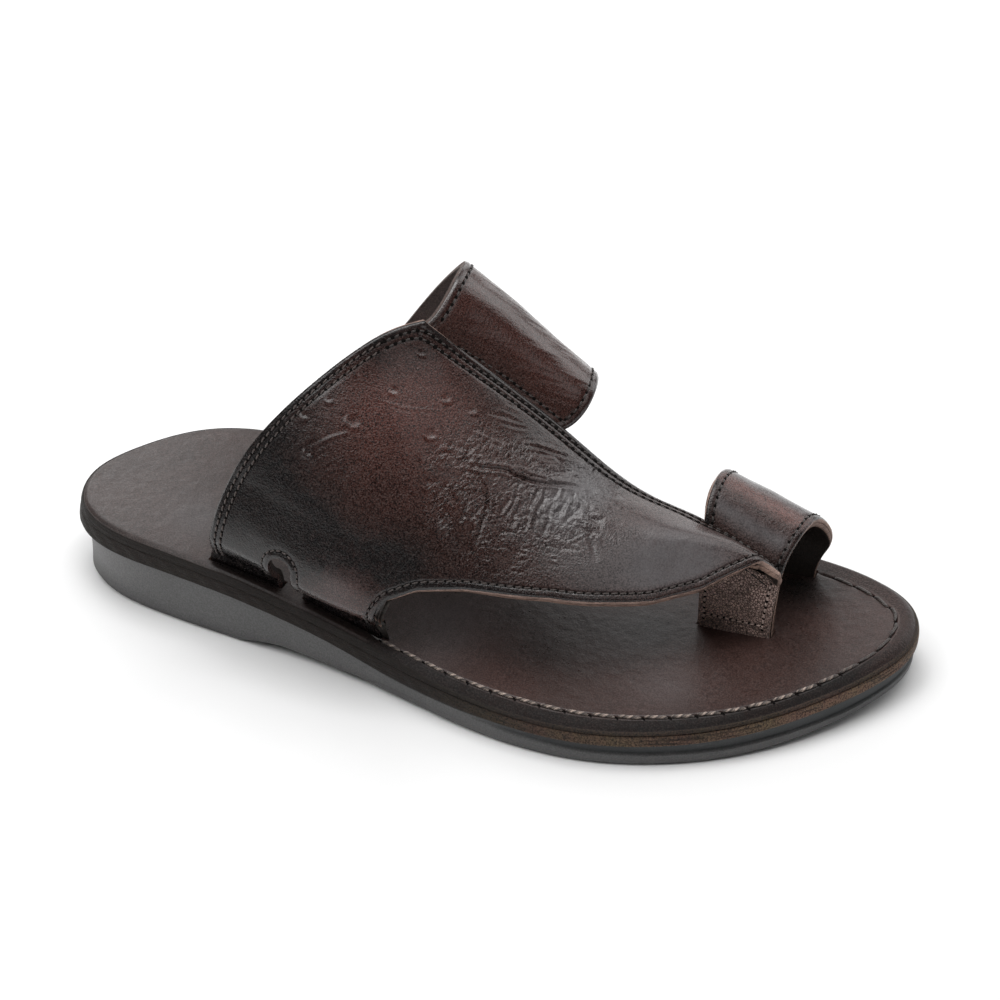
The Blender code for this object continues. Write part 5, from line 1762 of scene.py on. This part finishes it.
def vamp_pieces(seam, fine_seam):
    nu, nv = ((341, 221))
    us = vamp_samples(nu)
    base, rise = tucked(*vamp_grid(us, nv))
    n = grid_normals(base)
    i_tab = int(np.argmin(np.abs(us - U_TAB)))
    rear = resample(base[0], 1.2)
    ridge = resample(base[:, -1], 1.2)
    toe = resample(np.vstack([base[i_tab, :nv // 6:2][::-1], base[i_tab + 1:, 0]]), 1.2)
    flat = base.reshape(-1, 3)
    d_rear = line_distance(flat, rear, 9.0)[0].reshape(nu, nv)
    d_ridge = line_distance(flat, ridge, 9.0)[0].reshape(nu, nv)
    d_toe = line_distance(flat, toe, 9.0)[0].reshape(nu, nv)
    d_free = np.minimum(np.minimum(d_rear, d_ridge), d_toe)
    h = crease_field(VAMP, flat, VAMP_CREASES)
    h += marks_field(VAMP, flat, HIDE_MARKS, DIMPLES)
    crumple, fold = crumple_field(VAMP, flat, CRUMPLES)
    h += crumple
    h += soft_dents(flat, 0.22, 13.0, 3.0) * np.clip(d_free.reshape(-1) / 8, 0, 1)
    h = h.reshape(nu, nv) * np.clip((d_free - 1.5) / 4, 0, 1)
    h -= 0.32 * np.exp(-(d_free / 0.5) ** 2)
    for rear_inset, ridge_inset in ROWS:
        h -= 0.20 * np.exp(-((d_rear - rear_inset) / 0.55) ** 2)
        h -= 0.28 * np.exp(-((d_ridge - ridge_inset) / 0.7) ** 2)
    h -= 0.24 * np.exp(-((d_toe - 2.7) / 0.5) ** 2)
    # pressed lip round the notch
    d_notch = notch_distance(flat).reshape(nu, nv)
    h += 0.45 * np.exp(-((d_notch - 0.9) / 0.9) ** 2) - 0.20 * np.exp(-((d_notch - 2.5) / 0.5) ** 2)
    face = base + n * h[:, :, None]
    burnish_and_painted_shade = spots(flat, VAMP, BURNISH).reshape(nu, nv)
    burnish_and_painted_shade = np.clip(burnish_and_painted_shade + 0.55 * np.exp(-(d_free / 2.2) ** 2), 0, 1)
    # painted shade: the tabs' tucked-in foot is blackened
    tab = (us < U_TAB + 0.003)[:, None]
    burnish_and_painted_shade = np.maximum(burnish_and_painted_shade, tab * (1 - soft_step(rise, 7.0, 9.0)))
    burnish_and_painted_shade = np.maximum(burnish_and_painted_shade, 0.8 * np.exp(-(d_notch / 3.0) ** 2))
    rub_and_painted_light = spots(flat, VAMP, RUBBED).reshape(nu, nv)
    # painted sheen on the vamp
    painted_sheen = spots(flat, VAMP, PAINTED_SHEEN_SPOTS).reshape(nu, nv) * np.clip((d_free - 1) / 4, 0, 1)
    skip = 4
    # cut edge darkened: a stain along the rear edge, painted shade low on the tabs
    stain_and_painted_shade = np.clip(np.exp(-(d_rear / 2.0) ** 2) + tab * (1 - soft_step(rise, 8.0, 14.0)), 0, 1)
    outer = sheet("vamp_outer", face, bevelled(base - n * OUTER_LEATHER, base, i_tab, 0.70), [LEATHER, RAW_TAN, LINING], 3, 0.18, skip,
                  {"burnish_and_painted_shade": burnish_and_painted_shade, "rub_and_painted_light": rub_and_painted_light, "fold": fold.reshape(nu, nv) * np.clip((d_free - 2) / 4, 0, 1), "stain_and_painted_shade": stain_and_painted_shade, "painted_sheen": painted_sheen})
    nu2, nv2 = 121, 81
    us2 = vamp_samples(nu2)
    b2, _ = tucked(*vamp_grid(us2, nv2))
    n2 = grid_normals(b2)
    i2 = int(np.argmin(np.abs(us2 - U_TAB)))
    lining = sheet("vamp_lining", bevelled(b2 - n2 * (OUTER_LEATHER + PLY_GAP), b2, i2, 0.75), bevelled(b2 - n2 * VAMP_WALL, b2, i2, 1.35),
                   [LINING, RAW, LINING], 3, 0.15, 1)
    for obj in (outer, lining):
        c = bar_cutter("notch", NOTCH_X, 10.0, NOTCH_TOP, NOTCH_WIDTH, -70.0, -25.0, [RAW_DARK])
        cut(obj, [c])
        obj.data.shade_smooth()
        obj.data.set_sharp_from_angle(angle=math.radians(60))
        ready(obj)

    # seams: two rows round the rear edge and along the ridge
    for (inset, ridge_inset), phase in zip(ROWS, (0.0, 0.5)):
        path = []
        for j in range(int(nv * 0.10), nv - 1):
            i = crossing(d_rear[:, j], inset)
            if i is not None and d_ridge[int(round(i)), j] > ridge_inset + 1.0:
                path.append(pick(base, i, j))
        corner = len(path)
        for i in range(0, int(nu * 0.90)):
            j = crossing(d_ridge[i, ::-1], ridge_inset)
            if j is not None and d_rear[i, int(round(nv - 1 - j))] > inset + 1.0:
                path.append(pick(base, i, nv - 1 - j))
        path = np.array(path)
        rear_length = float(np.linalg.norm(np.diff(path[:corner], axis=0), axis=1).sum())
        pts, nor = settle(path, base, n, 4.0)
        t = np.concatenate([[0], np.cumsum(np.linalg.norm(np.diff(pts, axis=0), axis=1))])
        a = t <= rear_length * 0.90
        b = ~a
        seam.row(pts[a], nor[a], 2.55, 1.75, 0.27, (0.52, 0.44), -0.04, phase, 0.16, 0.36)
        seam.row(pts[b], nor[b], 2.75, 1.45, 0.28, (0.66, 0.60), -0.16, phase, 0.12, 0.10)
    # one row along the toe edge
    path = []
    for i in range(i_tab + 1, nu - 4):
        j = crossing(d_toe[i], 2.7)
        if j is not None and d_ridge[i, int(round(j))] > 2.0:
            path.append(pick(base, i, j))
    start = [pick(base, i_tab - 1 - 2.4 / 0.6, nv * f) for f in (0.12, 0.17)]
    pts, nor = settle(np.vstack([start, path]), base, n, 5.0)
    fine_seam.row(pts, nor, 2.75, 2.0, 0.27, (0.46, 0.38), -0.06, 0.3, 0.10, 0.22)
    # and one round the keyhole notch
    outline = notch_outline(2.5, (11.0, 8.0, 5.0, 2.5))
    path = []
    low = flat[(flat[:, 2] < 62) & (flat[:, 0] > 60) & (flat[:, 0] < 110)]
    for x, z in outline:
        path.append(low[np.argmin((low[:, 0] - x) ** 2 + (low[:, 2] - z) ** 2)] * [0, 1, 0] + [x, 0, z])
    pts, nor = settle(np.array(path), base, n, 1.5)
    fine_seam.row(pts, nor, 2.2, 1.5, 0.23, (0.42, 0.34), -0.02, 0.2, 0.08, 0.35)
    return base, n, us, d_ridge


def band_pieces(seam, vamp_edge):
    nu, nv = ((141, 241))
    us = np.linspace(0, 1, nu)
    vs = np.linspace(0, 1, nv)
    base = grid_of(BAND, us, vs)
    n = grid_normals(base)
    flat = base.reshape(-1, 3)
    d0 = line_distance(flat, resample(base[0], 1.2), 8.0)[0].reshape(nu, nv)
    d1 = line_distance(flat, resample(base[-1], 1.2), 8.0)[0].reshape(nu, nv)
    d = np.minimum(d0, d1)
    # fine creases run across the strap, in line with its short side
    girth = np.concatenate([[0], np.cumsum(np.linalg.norm(np.diff(base[nu // 2], axis=0), axis=1))])
    h = np.zeros((nu, nv))
    top = np.exp(-((vs - 0.30) / 0.16) ** 2)
    for i in range(nu):
        for j in range(nv):
            g = girth[j] - 22.0 * us[i]
            w = noise.noise(Vector((us[i] * 2.6, g / 1.10, 1.7))) + 0.7 * noise.noise(Vector((us[i] * 5.0, g / 0.62, 7.1)))
            h[i, j] = 0.11 * w * (0.30 + top[j])
    h += soft_dents(flat, 0.20, 12.0, 8.0).reshape(nu, nv)
    h *= np.clip((d - 0.8) / 4, 0, 1)
    h -= 0.5 * np.exp(-(d / 0.55) ** 2) + 0.18 * np.exp(-((d - 2.7) / 0.6) ** 2)
    face = base + n * h[:, :, None]
    burnish_and_painted_shade = np.clip(0.55 * np.exp(-(d / 2.6) ** 2) + 0.18 * np.exp(-((girth - girth[int(nv * 0.24)]) / 5.0) ** 2)[None, :], 0, 1)
    rub_and_painted_light = np.clip(np.exp(-((vs - 0.40) / 0.10) ** 2)[None, :] * (0.5 + 0.5 * np.sin(us * 9 + 1)[:, None]) * 0.9 + 0.6 * np.exp(-((vs - 0.22) / 0.05) ** 2)[None, :], 0, 1) * np.ones((nu, 1))
    stain_and_painted_shade = np.zeros((nu, nv))
    outer = sheet("band_outer", face, base - n * OUTER_LEATHER, [BAND_LEATHER, RAW_BROWN, BAND_LINING], 3, 0.18, 4, {"burnish_and_painted_shade": burnish_and_painted_shade, "rub_and_painted_light": rub_and_painted_light, "stain_and_painted_shade": stain_and_painted_shade})
    b2 = grid_of(BAND, np.linspace(0, 1, 61), np.linspace(0, 1, 121))
    n2 = grid_normals(b2)
    lining = sheet("band_lining", b2 - n2 * (OUTER_LEATHER + PLY_GAP), b2 - n2 * BAND_WALL, [BAND_LINING, RAW_BROWN, BAND_LINING], 3, 0.15, 1)
    for obj in (outer, lining):
        c = bar_cutter("notch", BAND_NOTCH_X * GX, 10.0, NOTCH_TOP - 6, NOTCH_WIDTH, 20.0, 60.0, [RAW_DARK])
        cut(obj, [c])
        obj.data.shade_smooth()
        obj.data.set_sharp_from_angle(angle=math.radians(60))
        ready(obj)
    for dist, side in ((d0, 1), (d1, -1)):
        path = []
        for j in range(int(nv * 0.16), int(nv * 0.985)):
            k = crossing(dist[::side, j], 2.7)
            if k is not None:
                path.append(pick(base, k if side > 0 else nu - 1 - k, j))
        pts, nor = settle(np.array(path), base, n, 3.0)
        seam.row(pts, nor, 2.8, 1.7, 0.27, (0.62, 0.52) if side > 0 else (0.48, 0.40), -0.08, 0.0, 0.08, 0.10)
    # the row that holds band and vamp together, just clear of the vamp's edge
    edge = resample(vamp_edge, 1.0)
    dv = line_distance(flat, edge, 12.0)[0].reshape(nu, nv)
    path = []
    for i in range(3, nu - 3):
        k = crossing(dv[i, int(np.argmin(dv[i])):], 2.3)
        if k is not None:
            path.append(pick(base, i, int(np.argmin(dv[i])) + k))
    if len(path) > 8:
        pts, nor = settle(np.array(path), base, n, 4.0)
        seam.row(pts, nor, 2.7, 1.5, 0.26, (0.62, 0.54), -0.12, 0.0, 0.08, 0.10)


def loop_pieces(seam, tab_seam):
    nu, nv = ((61, 241))
    us, vs = np.linspace(0, 1, nu), np.linspace(0, 1, nv)
    base = grid_of(LOOP, us, vs)
    n = grid_normals(base)
    flat = base.reshape(-1, 3)
    d0 = line_distance(flat, resample(base[0], 1.0), 8.0)[0].reshape(nu, nv)
    d1 = line_distance(flat, resample(base[-1], 1.0), 8.0)[0].reshape(nu, nv)
    d = np.minimum(d0, d1)
    h = soft_dents(flat, 0.22, 9.0, 5.0).reshape(nu, nv) + soft_dents(flat, 0.08, 2.2, 2.0).reshape(nu, nv)
    h *= np.clip((d - 0.8) / 3, 0, 1)
    h -= 0.5 * np.exp(-(d / 0.5) ** 2) + 0.18 * np.exp(-((d - 2.5) / 0.5) ** 2)
    face = base + n * h[:, :, None]
    # burnished edges, and painted shade: the dark foot of the strap and the dark line beside its highlight
    burnish_and_painted_shade = np.clip(0.6 * np.exp(-(d / 2.2) ** 2) + 0.90 * (1 - soft_step(vs, 0.305, 0.365))[None, :] + 0.45 * np.exp(-((vs - 0.455) / 0.022) ** 2)[None, :], 0, 1)
    rub_and_painted_light = np.clip(np.exp(-((vs - 0.50) / 0.05) ** 2), 0, 1)[None, :] * np.ones((nu, 1)) * 0.8
    # painted highlight across the strap, and a pale painted sheen over its top and inner side
    painted_sheen = (0.85 * np.exp(-((vs - 0.405) / 0.030) ** 2) + 0.75 * soft_step(vs, 0.51, 0.57))[None, :] * np.clip((d - 1) / 3, 0, 1)
    outer = sheet("loop_outer", face, base - n * 1.7, [LOOP_LEATHER, RAW_TAN, LINING], 3, 0.2, 4, {"burnish_and_painted_shade": burnish_and_painted_shade, "rub_and_painted_light": rub_and_painted_light, "painted_sheen": painted_sheen, "stain_and_painted_shade": np.zeros((nu, nv))})
    b2 = grid_of(LOOP, np.linspace(0, 1, 31), np.linspace(0, 1, 121))
    n2 = grid_normals(b2)
    lining = sheet("loop_lining", b2 - n2 * (1.7 + PLY_GAP), b2 - n2 * LOOP_WALL, [LINING, RAW, LINING], 3, 0.2, 1)
    ready(outer)
    ready(lining)
    for dist, side in ((d0, 1), (d1, -1)):
        path = []
        for j in range(int(nv * 0.20), int(nv * 0.97)):
            k = crossing(dist[::side, j], 2.4)
            if k is not None:
                path.append(pick(base, k if side > 0 else nu - 1 - k, j))
        pts, nor = settle(np.array(path), base, n, 2.0)
        seam.row(pts, nor, 2.85, 1.8, 0.28, (0.56, 0.46), -0.08, 0.0, 0.08, 0.12)
    # grained tab over the outer side of the post
    nu, nv = 61, 69
    tu, tv = np.linspace(0.0, 0.988, nu), np.linspace(0.0, TAB_TOP, nv)
    tab = grid_of(LOOP, tu, tv)
    m = grid_normals(tab)
    de = np.minimum(line_distance(tab.reshape(-1, 3), tab[0], 6.0)[0], line_distance(tab.reshape(-1, 3), tab[-1], 6.0)[0]).reshape(nu, nv)
    h = TAB_THICK - 0.45 * np.exp(-(de / 0.5) ** 2) - 0.16 * np.exp(-((de - 1.6) / 0.4) ** 2)
    h += soft_dents(tab.reshape(-1, 3), 0.10, 3.0, 4.0).reshape(nu, nv) + soft_dents(tab.reshape(-1, 3), 0.10, 0.95, 9.0).reshape(nu, nv)
    obj = sheet("post_tab", tab + m * h[:, :, None], tab + m * 0.03, [TAB, RAW_TAN, LINING], 3, 0.15, 4)
    ready(obj)
    for i_frac in (0.085, 0.915):
        line = tab[int(i_frac * (nu - 1)), int(nv * 0.22):int(nv * 0.93)] + m[int(i_frac * (nu - 1)), int(nv * 0.22):int(nv * 0.93)] * (TAB_THICK + 0.02)
        nor = m[int(i_frac * (nu - 1)), int(nv * 0.22):int(nv * 0.93)]
        tab_seam.row(line, nor, 2.1, 1.35, 0.34, (0.56, 0.44), 0.06, 0.2, 0.10, 0.55)
    j = int(nv * 0.30)
    tab_seam.row(tab[5:-5, j] + m[5:-5, j] * (TAB_THICK + 0.02), m[5:-5, j], 2.1, 1.35, 0.30, (0.48, 0.36), 0.06, 0.2, 0.08, 0.45)
    k = [(0.50, 0.985), (0.70, 0.93), (0.90, 0.86)]
    line = np.array([pick(tab, a * (nu - 1), b * (nv - 1)) + pick(m, a * (nu - 1), b * (nv - 1)) * TAB_THICK for a, b in k])
    nor = np.array([pick(m, a * (nu - 1), b * (nv - 1)) for a, b in k])
    seam.row(line, nor, 3.4, 2.7, 0.2, (0.30, 0.22), -0.02, 0.1, 0.0)


TAB_TOP, TAB_THICK = 0.285, 1.15


def bed_stitches():
    """Long twisted stitches lying in the footbed's channel, from the front
    tab round the toe to the big-toe loop; darker round the toe, pale along
    the outer side, darkened by painted shade along the inner side; each stitch has a painted highlight in its middle
    and plies of painted light and shade."""
    m = 240
    p, n = outline_stations(m)
    inner = np.arange(2 * m) > m
    inset = seam_inset(p[:, 0], inner)
    q = p - n * inset[:, None]
    z = footbed(q[:, 0]) - bed_drop(q[:, 0], inset, inner)
    keep = np.where(inner, q[:, 0] >= BED_STITCH_TO * GX - 4, q[:, 0] >= BED_STITCH_FROM * GX)
    # thread tone: pale along the outer side, darker round the toe, and painted shade along the inner side
    pale = np.where(inner, 0.06, 1 - 0.94 * soft_step(q[:, 0], 248, 268)) * soft_step(q[:, 0], 112, 128)
    line = resample(np.column_stack([q, z, pale])[keep], 0.4)
    t = np.concatenate([[0], np.cumsum(np.linalg.norm(np.diff(line[:, :3], axis=0), axis=1))])

    def at(s):
        return np.stack([np.interp(s, t, line[:, c]) for c in range(4)], -1)

    pitch, length = 8.3, 7.2
    threads, holes = Joined(), Seam()
    k = 0
    s = np.linspace(-0.5, 0.5, 25)
    while (k + 1) * pitch < t[-1]:
        row = at((k + 0.5) * pitch + s * length)
        mid, tone = row[:, :3].copy(), row[:, 3:]
        d = np.gradient(mid, axis=0)
        d /= np.linalg.norm(d, axis=1)[:, None]
        side = np.cross(d, [0, 0, 1.0])
        up = np.cross(side, d)
        lean = 0.55 * s + 0.12 * noise.noise(Vector((k * 1.7, 0.3, 0.0)))
        mid += side * lean[:, None]
        mid[:, 2] += 0.10 - 3.2 * np.maximum(0, np.abs(s) - 0.36) ** 1.2
        taper = np.clip((0.5 - np.abs(s)) / 0.16, 0.30, 1) ** 0.8
        for ply in range(3):
            ang = ply * 2 * math.pi / 3 + s * 2 * math.pi * 2.7 + k * 1.3
            path = mid + 0.29 * taper[:, None] * (side * np.cos(ang)[:, None] + up * np.sin(ang)[:, None] * 0.8)
            v, f = tube(path, 0.33 * (0.6 + 0.4 * taper), 7)
            shine = (0.35 + 0.65 * np.exp(-((s + 0.05) / 0.26) ** 2)) * (1.0 + 0.35 * noise.noise(Vector((k * 2.3, 5.1, 0.0))))
            shade = np.repeat(np.clip(tone[:, 0] * shine * (1.25, 0.45, 0.10)[ply], 0, 1), 7)
            threads.add(v, f, shade)
        k += 1
    for k in range(int(t[-1] / pitch) + 1):
        c, e = at(k * pitch)[:3], at(min(k * pitch + 0.5, t[-1]))[:3]
        d = e - c
        if np.linalg.norm(d) < 1e-6:
            continue
        d /= np.linalg.norm(d)
        side = np.cross([0, 0, 1.0], d)
        holes.pit(c - side * 0.25 - [0, 0, 0.30], (d * 0.8 - side * 0.6), side, np.array([0, 0, 1.0]), (1.05, 0.62))
    a = threads.build("bed_thread", [BED_THREAD])
    b = holes.holes.build("bed_holes", [HOLE])
    for o in (a, b):
        ready(o, "insole")


# -------------------------------------------------------------------- build
place_origin()
sole_piece()
midsole_piece()
gap_x = NOTCH_WIDTH / 2
slots = [
    slot_cutter("slot_a", VAMP, np.linspace(0, u_at_root(VAMP, NOTCH_X - gap_x), 8), True, VAMP_WALL),
    slot_cutter("slot_b", VAMP, np.linspace(u_at_root(VAMP, NOTCH_X + gap_x), U_TAB, 8), True, VAMP_WALL),
    slot_cutter("slot_c", BAND, np.linspace(0, u_at_root(BAND, BAND_NOTCH_X * GX - gap_x, 1.0), 8), False, BAND_WALL),
    slot_cutter("slot_d", BAND, np.linspace(u_at_root(BAND, BAND_NOTCH_X * GX + gap_x, 1.0), 1, 8), False, BAND_WALL),
    slot_cutter("slot_e", LOOP, np.linspace(0, 1, 6), True, LOOP_WALL),
    slot_cutter("slot_f", LOOP, np.linspace(0, 1, 6), False, LOOP_WALL),
]
footbed_piece(slots)
seam, fine_seam = Seam(), Seam()
vamp_base, vamp_n, vamp_us, _ = vamp_pieces(seam, fine_seam)
band_pieces(seam, vamp_base[:, -1])
tab_seam = Seam()
loop_pieces(fine_seam, tab_seam)
ready(seam.threads.build("seam_thread", [DARK_THREAD]))
ready(seam.holes.build("seam_holes", [HOLE]))
ready(fine_seam.threads.build("edge_thread", [DARK_THREAD]))
ready(fine_seam.holes.build("edge_holes", [HOLE]))
ready(tab_seam.threads.build("tab_thread", [TAB_THREAD]))
ready(tab_seam.holes.build("tab_holes", [HOLE]))
bed_stitches()


# -------------------------------------------------- floor, light and camera
def floor_piece():
    mesh = bpy.data.meshes.new("floor")
    s = 6.0
    mesh.from_pydata([(-s, -s, 0), (s, -s, 0), (s, s, 0), (-s, s, 0)], [], [(0, 1, 2, 3)])
    p = Paint("floor_white")
    cloud = p.noise(0.004, 2)
    p.set(Base_Color=p.mix(p.span(cloud, 0.3, 0.7, 0.0, 1.0), (0.86, 0.86, 0.86), (0.88, 0.88, 0.88)), Roughness=0.9)
    p.shader.inputs["Specular IOR Level"].default_value = 0.0
    mesh.materials.append(p.done())
    obj = bpy.data.objects.new("floor", mesh)
    bpy.context.scene.collection.objects.link(obj)


def area_light(name, place, target, size, power, colour=(1, 1, 1)):
    """Soft box: place and target in mm from the heel, size in mm."""
    data = bpy.data.lights.new(name, "AREA")
    data.shape = "RECTANGLE"
    data.size, data.size_y = size[0] / 1000, size[1] / 1000
    data.energy = power
    data.color = colour
    obj = bpy.data.objects.new(name, data)
    a, b = Vector(to_frame(place)), Vector(to_frame(target))
    obj.location = a
    obj.rotation_mode = "QUATERNION"
    obj.rotation_quaternion = (b - a).to_track_quat("-Z", "Y")
    bpy.context.scene.collection.objects.link(obj)
    return obj


def world_light(strength):
    world = bpy.data.worlds.new("studio")
    world.use_nodes = True
    back = world.node_tree.nodes["Background"]
    back.inputs["Color"].default_value = (1, 1, 1, 1)
    back.inputs["Strength"].default_value = strength
    bpy.context.scene.world = world


def camera(azimuth=19.0161, elevation=36.5, twist=0.0969, target=(142.156, 0.0, 49.6225), distance=1100.0, lens=122.7384):
    az, el, ro = (math.radians(t) for t in (azimuth, elevation, twist))
    back = np.array([math.sin(az) * math.cos(el), -math.cos(az) * math.cos(el), math.sin(el)])
    right0 = np.array([math.cos(az), math.sin(az), 0.0])
    up0 = np.cross(back, right0)
    right = right0 * math.cos(ro) + up0 * math.sin(ro)
    up = -right0 * math.sin(ro) + up0 * math.cos(ro)
    data = bpy.data.cameras.new("camera")
    data.sensor_width = 36.0
    data.lens = lens
    data.clip_start, data.clip_end = 0.05, 50.0
    obj = bpy.data.objects.new("camera", data)
    place = to_frame(np.array(target) + back * distance)
    obj.matrix_world = Matrix(((right[0], up[0], back[0], place[0]), (right[1], up[1], back[1], place[1]),
                               (right[2], up[2], back[2], place[2]), (0, 0, 0, 1)))
    bpy.context.scene.collection.objects.link(obj)
    bpy.context.scene.camera = obj


floor_piece()
world_light(0.04)
SOFTBOXES = (
    # name              from (deg)  height (deg)  side_mm  brightness
    ("overhead",          0,          90,           800,     5.1),
    ("front_left_high",   315,        52,           800,     3.6),
    ("front_right_high",  45,         52,           800,     0.7),
    ("back_left",         225,        22,           800,     2.7),
    ("back",              180,        22,           800,     1.5),
    ("back_right",        135,        22,           800,     1.8),
    ("back_right_high",   135,        52,           800,     1.4),
    ("back_left_high",    225,        52,           800,     0.8),
)
for name, turn, height, side_mm, brightness in SOFTBOXES:
    a, e = math.radians(turn), math.radians(height)
    middle = np.array([140.0, 0.0, 30.0])
    way = np.array([math.sin(a) * math.cos(e), -math.cos(a) * math.cos(e), math.sin(e)])
    area_light(name, middle + way * 1300, middle, (side_mm, side_mm), brightness * math.pi * (side_mm / 1000) ** 2)
bpy.context.scene.view_settings.view_transform = "Standard"
camera()
